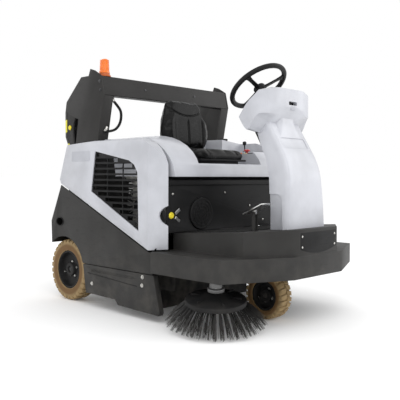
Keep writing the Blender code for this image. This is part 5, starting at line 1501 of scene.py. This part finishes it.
# ---------------------------------------------------------------- deck, masts and hopper
@dataclass
class Deck:
    """Seat deck with its consoles."""

    console: float = 0.850

    def build(self) -> None:
        """Show the deck and the controls on it."""
        refine("seat_deck", LIGHT_GREY, 0.007, 3)
        refine("hopper_lever", BLACK, 0.0005)
        self.add_button()
        catch = block(at(0.318, -0.462, 0.9385), at(0.372, -0.428, 0.9520), 0.004, 3)
        dress(catch, "wing_catch", BLACK, "seat_deck")
        lever = Vector(joint("hopper_lever_tilt")["pos_m"])
        loops = []
        for height, size in ((0.0, 0.022), (0.004, 0.021), (0.008, 0.016), (0.011, 0.018), (0.015, 0.012),
            (0.018, 0.013), (0.023, 0.007)):
            loops.append([(lever.x + x, lever.y + y, DATUM.z + self.console + height) for x,
                y in rounded_box(size, size, size * 0.4)])
        dress(smooth(lofted(loops), 60), "lever_boot", RUBBER, "seat_deck")
        knob = turned([(0.006, -0.012), (0.011, -0.006), (0.0125, 0.002), (0.010, 0.009), (0.004, 0.012)],
            Z_AXIS,
                      (lever.x, (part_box("hopper_lever")[0][1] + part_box("hopper_lever")[1][1]) / 2,
                      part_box("hopper_lever")[1][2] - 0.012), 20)
        dress(knob, "lever_knob", GLOSS_BLACK, "hopper_lever")
        pad = block(at(0.262, -0.752, 0.8500), at(0.340, -0.712, 0.8545), 0.0018)
        dress(pad, "console_label_pad", BLACK, "seat_deck")
        lamp = turned([(0.007, 0), (0.007, 0.003), (0.0045, 0.007), (0.002, 0.008)], Z_AXIS,
            at(0.268, -0.660, self.console), 16)
        dress(lamp, "console_lamp", AMBER, "seat_deck")
        for index in range(3):
            low = at(0.396, -0.735 + 0.034 * index, self.console)
            rocker = block(low, low + Vector((0.018, 0.026, 0.007)), 0.002)
            dress(rocker, f"console_rocker_{index + 1}", GLOSS_BLACK, "seat_deck")

    def add_button(self) -> None:
        """Red mushroom button on a yellow collar."""
        low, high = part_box("emergency_button")
        x, y = (low[0] + high[0]) / 2, (low[1] + high[1]) / 2
        button = turned([(0.0075, 0), (0.0075, 0.008), (0.0150, 0.010), (0.0190, 0.014), (0.0185, 0.018),
            (0.0140, 0.0215),
                         (0.0060, 0.0225)], Z_AXIS, (x, y, low[2]), 36)
        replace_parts(dress(button, "emergency_button_skin", SIGNAL_RED, "emergency_button"),
            "emergency_button")
        collar = turned([(0.0215, 0), (0.0215, 0.0015), (0.0190, 0.0030), (0.0125, 0.0035)], Z_AXIS,
            (x, y, DATUM.z + self.console), 36)
        carve(collar, turned([(0.0100, -0.004), (0.0100, 0.008)], Z_AXIS, (x, y, DATUM.z + self.console), 36))
        dress(collar, "button_collar", SIGNAL_YELLOW, "seat_deck")


@dataclass
class Mast:
    """Mast plates, crossbar and beacon."""

    rear_edge: tuple[tuple[float, float], ...] = ((-0.011, 0.896), (0.014, 0.942), (0.017, 1.086))

    def build(self) -> None:
        """Show the mast and its fittings."""
        for word, side in SIDES:
            refine(f"{word}_mast_plate", MAST_COAT, 0.0022)
            outline = list(self.rear_edge) + [(y - 0.016, z) for y, z in reversed(self.rear_edge)]
            low, high = sorted((side * 0.5042, side * 0.5060))
            dress(prism(outline, "x", low, high), f"{word}_hazard_tape", HAZARD, "chassis")
            cap = turned([(0.0135, -0.002), (0.0135, 0.003), (0.010, 0.006), (0.004, 0.007)], X_AXIS * side,
                at(side * 0.505, -0.030, 0.994), 28)
            dress(cap, f"{word}_pivot_cap", SIGNAL_YELLOW, "lift_arms")
            places = [at(side * 0.505, y, z) for y, z in ((-0.312, 1.235), (-0.318, 1.185), (-0.255, 0.640))]
            screws(f"{word}_mast_bolts", places, X_AXIS * side, 0.0062, "chassis")
        refine("mast_crossbar", MAST_COAT, 0.005, 3)
        refine("beacon_base", BEACON_FOOT, 0.001)
        self.add_beacon()
        screws("crossbar_screws", [at(x, -0.3365, 1.211) for x in (-0.20, 0.20)],
            Vector((0, -1, 0.1)).normalized(), 0.0040, "chassis")

    def add_beacon(self) -> None:
        """Ribbed lens over its lamp."""
        low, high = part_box("beacon_lens")
        x, y = (low[0] + high[0]) / 2, (low[1] + high[1]) / 2
        steps = [(0.0298, 0.0), (0.0298, 0.008), (0.0280, 0.010)]
        for rib in range(9):
            height = 0.0135 + 0.0068 * rib
            steps += [(0.0268 - 0.0003 * rib, height), (0.0279 - 0.0003 * rib, height + 0.0034)]
        steps += [(0.0225, 0.0735), (0.0150, 0.0782), (0.0060, 0.0796)]
        lens = turned(steps, Z_AXIS, (x, y, low[2]), 40)
        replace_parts(dress(smooth(lens, 50), "beacon_lens_skin", AMBER, "chassis"), "beacon_lens")


@dataclass
class Hopper:
    """Dirt hopper with its flap, lift arms and cylinders."""

    run: Vector = field(default_factory=lambda: Vector((0.0, -0.369, 0.929)))
    out: Vector = field(default_factory=lambda: Vector((0.0, 0.929, 0.369)))

    def build(self) -> None:
        """Show the hopper and what lifts it."""
        refine("hopper", SHEET_COAT, 0.003)
        self.add_lid()
        self.add_rear_fittings()
        refine("dump_flap", SHEET_COAT, 0.002)
        refine("lift_axle", FRAME_COAT, 0.001)
        for word, _ in SIDES:
            refine(f"{word}_lift_arm", FRAME_COAT, 0.0012)
            refine(f"{word}_cylinder_barrel", BLACK, 0.001)
            refine(f"{word}_cylinder_rod", CHROME, 0.0005)

    def on_slope(self, across: float, up: float, height: float) -> Vector:
        """Place on the hopper's sloping back: across, up the slope and out of it."""
        return at(across, 0.165, 0.500) + self.run * up + self.out * height

    def add_lid(self) -> None:
        """Filter lid on the sloping back: a framed panel with louvres, catches and a grab handle."""
        corners = rounded_box(0.300, 0.140, 0.020)
        loops = [[self.on_slope(x, 0.185 + u, height) for x, u in corners] for height in (-0.001, 0.006)]
        lid = soften(lofted(loops), 0.0025, 2)
        dress(smooth(lid), "hopper_lid", SHEET_COAT, "hopper")
        louvres = []
        for row in range(9):
            up = 0.100 + 0.017 * row
            section = ((0.0, 0.0055), (0.010, 0.0055), (0.0085, 0.0095), (0.0015, 0.0115))
            louvres.append(lofted([[self.on_slope(x, up + u, height) for u, height in section]
                for x in (-0.210, 0.210)]))
        dress(smooth(joined(louvres)), "hopper_lid_louvres", SHEET_COAT, "hopper")
        for word, side in SIDES:
            catch = [self.on_slope(side * 0.235, 0.300, 0.006), self.on_slope(side * 0.235, 0.300, 0.016),
                     self.on_slope(side * 0.235, 0.268, 0.017), self.on_slope(side * 0.235, 0.262, 0.009)]
            dress(tube(catch, 0.0035, 2), f"{word}_lid_catch", ZINC, "hopper")
        handle = [self.on_slope(-0.070, 0.285, 0.004), self.on_slope(-0.070, 0.285, 0.026),
            self.on_slope(-0.060, 0.285, 0.034),
                  self.on_slope(0.060, 0.285, 0.034), self.on_slope(0.070, 0.285, 0.026),
                  self.on_slope(0.070, 0.285, 0.004)]
        dress(tube(handle, 0.0055, 3), "hopper_lid_handle", BLACK, "hopper")
        places = [self.on_slope(x, u, 0.006) for x in (-0.285, 0.285) for u in (0.060, 0.310)]
        screws("hopper_lid_screws", places, self.out, 0.0045, "hopper", ZINC, Head.PAN)

    def add_rear_fittings(self) -> None:
        """Stiffening ribs and seal on the flap, and a lamp at each side of the lid."""
        low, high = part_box("dump_flap")
        back = high[1]
        ribs = []
        for x in (-0.240, -0.080, 0.080, 0.240):
            ribs.append(block((DATUM.x + x - 0.012, back - 0.0095, low[2] + 0.020),
                (DATUM.x + x + 0.012, back - 0.0030, high[2] - 0.030), 0.003, 2))
        dress(joined(ribs), "flap_ribs", SHEET_COAT, "dump_flap")
        seal = block((low[0] + 0.006, back - 0.011, low[2] + 0.001),
            (high[0] - 0.006, back - 0.006, low[2] + 0.017), 0.0015, 1)
        dress(seal, "flap_seal", RUBBER, "dump_flap")
        for word, side in SIDES:
            place = self.on_slope(side * 0.3275, 0.060, 0.0)
            base = turned([(0.0225, -0.002), (0.0225, 0.004), (0.0205, 0.006)], self.out, place, 32)
            dress(base, f"{word}_tail_lamp_base", BLACK, "hopper")
            lens = turned([(0.0198, 0.004), (0.0198, 0.009), (0.0168, 0.0125), (0.009, 0.0145), (0.004, 0.015)],
                          self.out, place, 32)
            dress(lens, f"{word}_tail_lamp", TAIL_RED, "hopper")


@dataclass
class Underbody:
    """Frame, engine, muffler, hose, fork and rubber flap."""

    plain: dict[str, tuple[Finish, float]] = field(default_factory=lambda: {
        "chassis_frame": (FRAME_COAT, 0.0015), "engine_block": (CASTING, 0.004), "muffler": (ZINC, 0.002),
        "hydraulic_hose": (RUBBER, 0.0), "front_rubber_flap": (RUBBER, 0.001),
        "front_fork": (FRAME_COAT, 0.002),
    })

    def build(self) -> None:
        """Show each node."""
        for node, (finish, bevel) in self.plain.items():
            refine(node, finish, bevel)
        self.add_hose_ends()
        self.add_engine_details()

    def add_hose_ends(self) -> None:
        """Hex unions and ferrules where the hose is held."""
        parts = []
        for place, direction in ((at(-0.418, -0.310, 1.1564), Vector((0, -0.25, -1))),
            (at(-0.464, -0.3082, 0.961), Vector((0.35, 0.0, 0.9)))):
            direction = direction.normalized()
            parts.append(turned([(0.0105, 0.0), (0.0105, 0.012)], direction, place, 6))
            parts.append(turned([(0.0088, 0.012), (0.0094, 0.014), (0.0094, 0.026), (0.0082, 0.029)],
                direction, place, 20))
        dress(joined(parts), "hose_unions", ZINC, "chassis")

    def add_engine_details(self) -> None:
        """Cylinder fins, belts and bolts in the engine bay."""
        fins = []
        for step in range(9):
            z = 0.562 + 0.014 * step
            fins.append(block(at(-0.352, -0.440, z), at(-0.290, -0.375, z + 0.006), 0.0015, 1))
        dress(joined(fins), "engine_fins", BRIGHT, "chassis")
        hub = turned([(0.098, 0.0), (0.104, 0.004), (0.104, 0.010), (0.060, 0.014), (0.030, 0.016),
            (0.028, 0.026), (0.012, 0.028)],
                     -X_AXIS, at(-0.355, -0.480, 0.558), 48)
        dress(hub, "fan_screen", FRAME_COAT, "chassis")
        ribs = []
        for step in range(24):
            rib = block((-0.0160, -0.0012, 0.034), (-0.0105, 0.0012, 0.094), 0.0006, 1)
            turn = Matrix.Translation(at(-0.355, -0.480, 0.558)) @ Matrix.Rotation(math.radians(15 * step),
                4, "X")
            ribs.append(copied(rib, turn))
            bpy.data.objects.remove(rib)
        dress(joined(ribs), "fan_screen_ribs", ZINC, "chassis")
        filler = turned([(0.018, 0.0), (0.018, 0.016), (0.024, 0.018), (0.024, 0.030), (0.021, 0.033)],
            Z_AXIS, at(-0.180, -0.585, 0.6975), 24)
        dress(filler, "oil_filler_cap", SIGNAL_YELLOW, "chassis")
        lead = [at(-0.300, -0.600 + 0.030 * math.sin(step * 0.5), 0.600 + 0.012 * step) for step in range(9)]
        dress(tube(lead, 0.0040, 2), "engine_lead", RUBBER, "chassis")
        screws("engine_bolts", [at(-0.300, y, z) for y in (-0.620, -0.352) for z in (0.430, 0.540)],
            -X_AXIS, 0.0065, "chassis", ZINC)
        bands = [turned([(0.0465, -0.006), (0.0475, -0.005), (0.0475, 0.005), (0.0465, 0.006)], Y_AXIS,
            at(-0.370, y, 0.733), 32)
                 for y in (-0.550, -0.410)]
        dress(joined(bands), "muffler_bands", BOLT_STEEL, "chassis")


# ---------------------------------------------------------------- studio
@dataclass
class Studio:
    """Pale floor, soft lights and the camera."""

    camera_place: Vector = field(default_factory=lambda: at(-2.567, -3.095, 0.723))
    heading: float = -45.6
    focal_length: float = 56.6
    shift: tuple[float, float] = (0.0005, -0.0617)

    def build(self) -> None:
        """Set up the stage."""
        self.add_floor()
        self.add_world()
        self.add_light("key_light", at(-2.2, -3.4, 3.6), 45.0, 3.0)
        self.add_light("fill_light", at(3.0, -3.6, 2.6), 45.0, 3.2)
        self.add_light("rear_light", at(0.6, 3.6, 3.2), 25.0, 3.0)
        self.add_camera()

    def add_floor(self) -> None:
        """Large pale floor."""
        deselect()
        bpy.ops.mesh.primitive_plane_add(size=400.0, location=(0, 0, CAD_BOX[0][2] - 0.0005))
        floor = settle(bpy.context.object)
        floor.name = "studio_floor"
        graph = Graph("studio_floor")
        grain = graph.noise(graph.place(), 3.0).between(0.3, 0.7)
        floor.data.materials.append(graph.shade(
            Base_Color=graph.mix(grain, (0.955, 0.955, 0.955), (0.965, 0.965, 0.965)), Roughness=0.9,
            Specular_IOR_Level=0.0, Emission_Color=(1, 1, 1, 1), Emission_Strength=0.045,
        ))

    def add_world(self) -> None:
        """Even pale surroundings."""
        world = bpy.data.worlds.new("studio")
        bpy.context.scene.world = world
        world.use_nodes = True
        world.node_tree.nodes["Background"].inputs["Color"].default_value = (1.0, 1.0, 1.0, 1.0)
        world.node_tree.nodes["Background"].inputs["Strength"].default_value = 1.0

    def add_light(self, name: str, place: Vector, power: float, size: float) -> None:
        """Soft square light that faces the machine."""
        light = bpy.data.lights.new(name, "AREA")
        light.energy = power
        light.size = size
        item = bpy.data.objects.new(name, light)
        item.location = place
        item.rotation_euler = (at(0, -0.5, 0.6) - place).to_track_quat("-Z", "Y").to_euler()
        bpy.context.scene.collection.objects.link(item)

    def add_camera(self) -> None:
        """Level camera at the front right of the machine."""
        camera = bpy.data.cameras.new("camera")
        camera.lens = self.focal_length
        camera.sensor_width = 36.0
        camera.shift_x, camera.shift_y = self.shift
        item = bpy.data.objects.new("camera", camera)
        item.location = self.camera_place
        item.rotation_euler = (math.radians(90.0), math.radians(-0.21), math.radians(self.heading))
        bpy.context.scene.collection.objects.link(item)
        bpy.context.scene.camera = item


def main() -> None:
    """Build every sub-assembly in order."""
    logging.basicConfig(level=logging.INFO, format="%(name)s: %(message)s")
    bpy.context.scene.view_settings.view_transform = "Standard"
    low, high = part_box("front_tyre")
    front_width = high[0] - low[0]
    makers = [BodyPanels(), Platform(), Column(), SteeringWheel(), SeatBox(), Deck(), Seat(), Mast(),
        Hopper(), Underbody(),
              SideBroom(), MainBroom(), Wheel("right_rear", "right_rear_wheel", -1, 0.175, 0.095),
              Wheel("left_rear", "left_rear_wheel", 1, 0.175, 0.095),
              Wheel("front", "front_wheel", -1, 0.120, front_width, 24, 4),
              Studio()]
    for maker in makers:
        maker.build()
        log.info("built %s", type(maker).__name__)


if __name__ == "__main__":
    main()
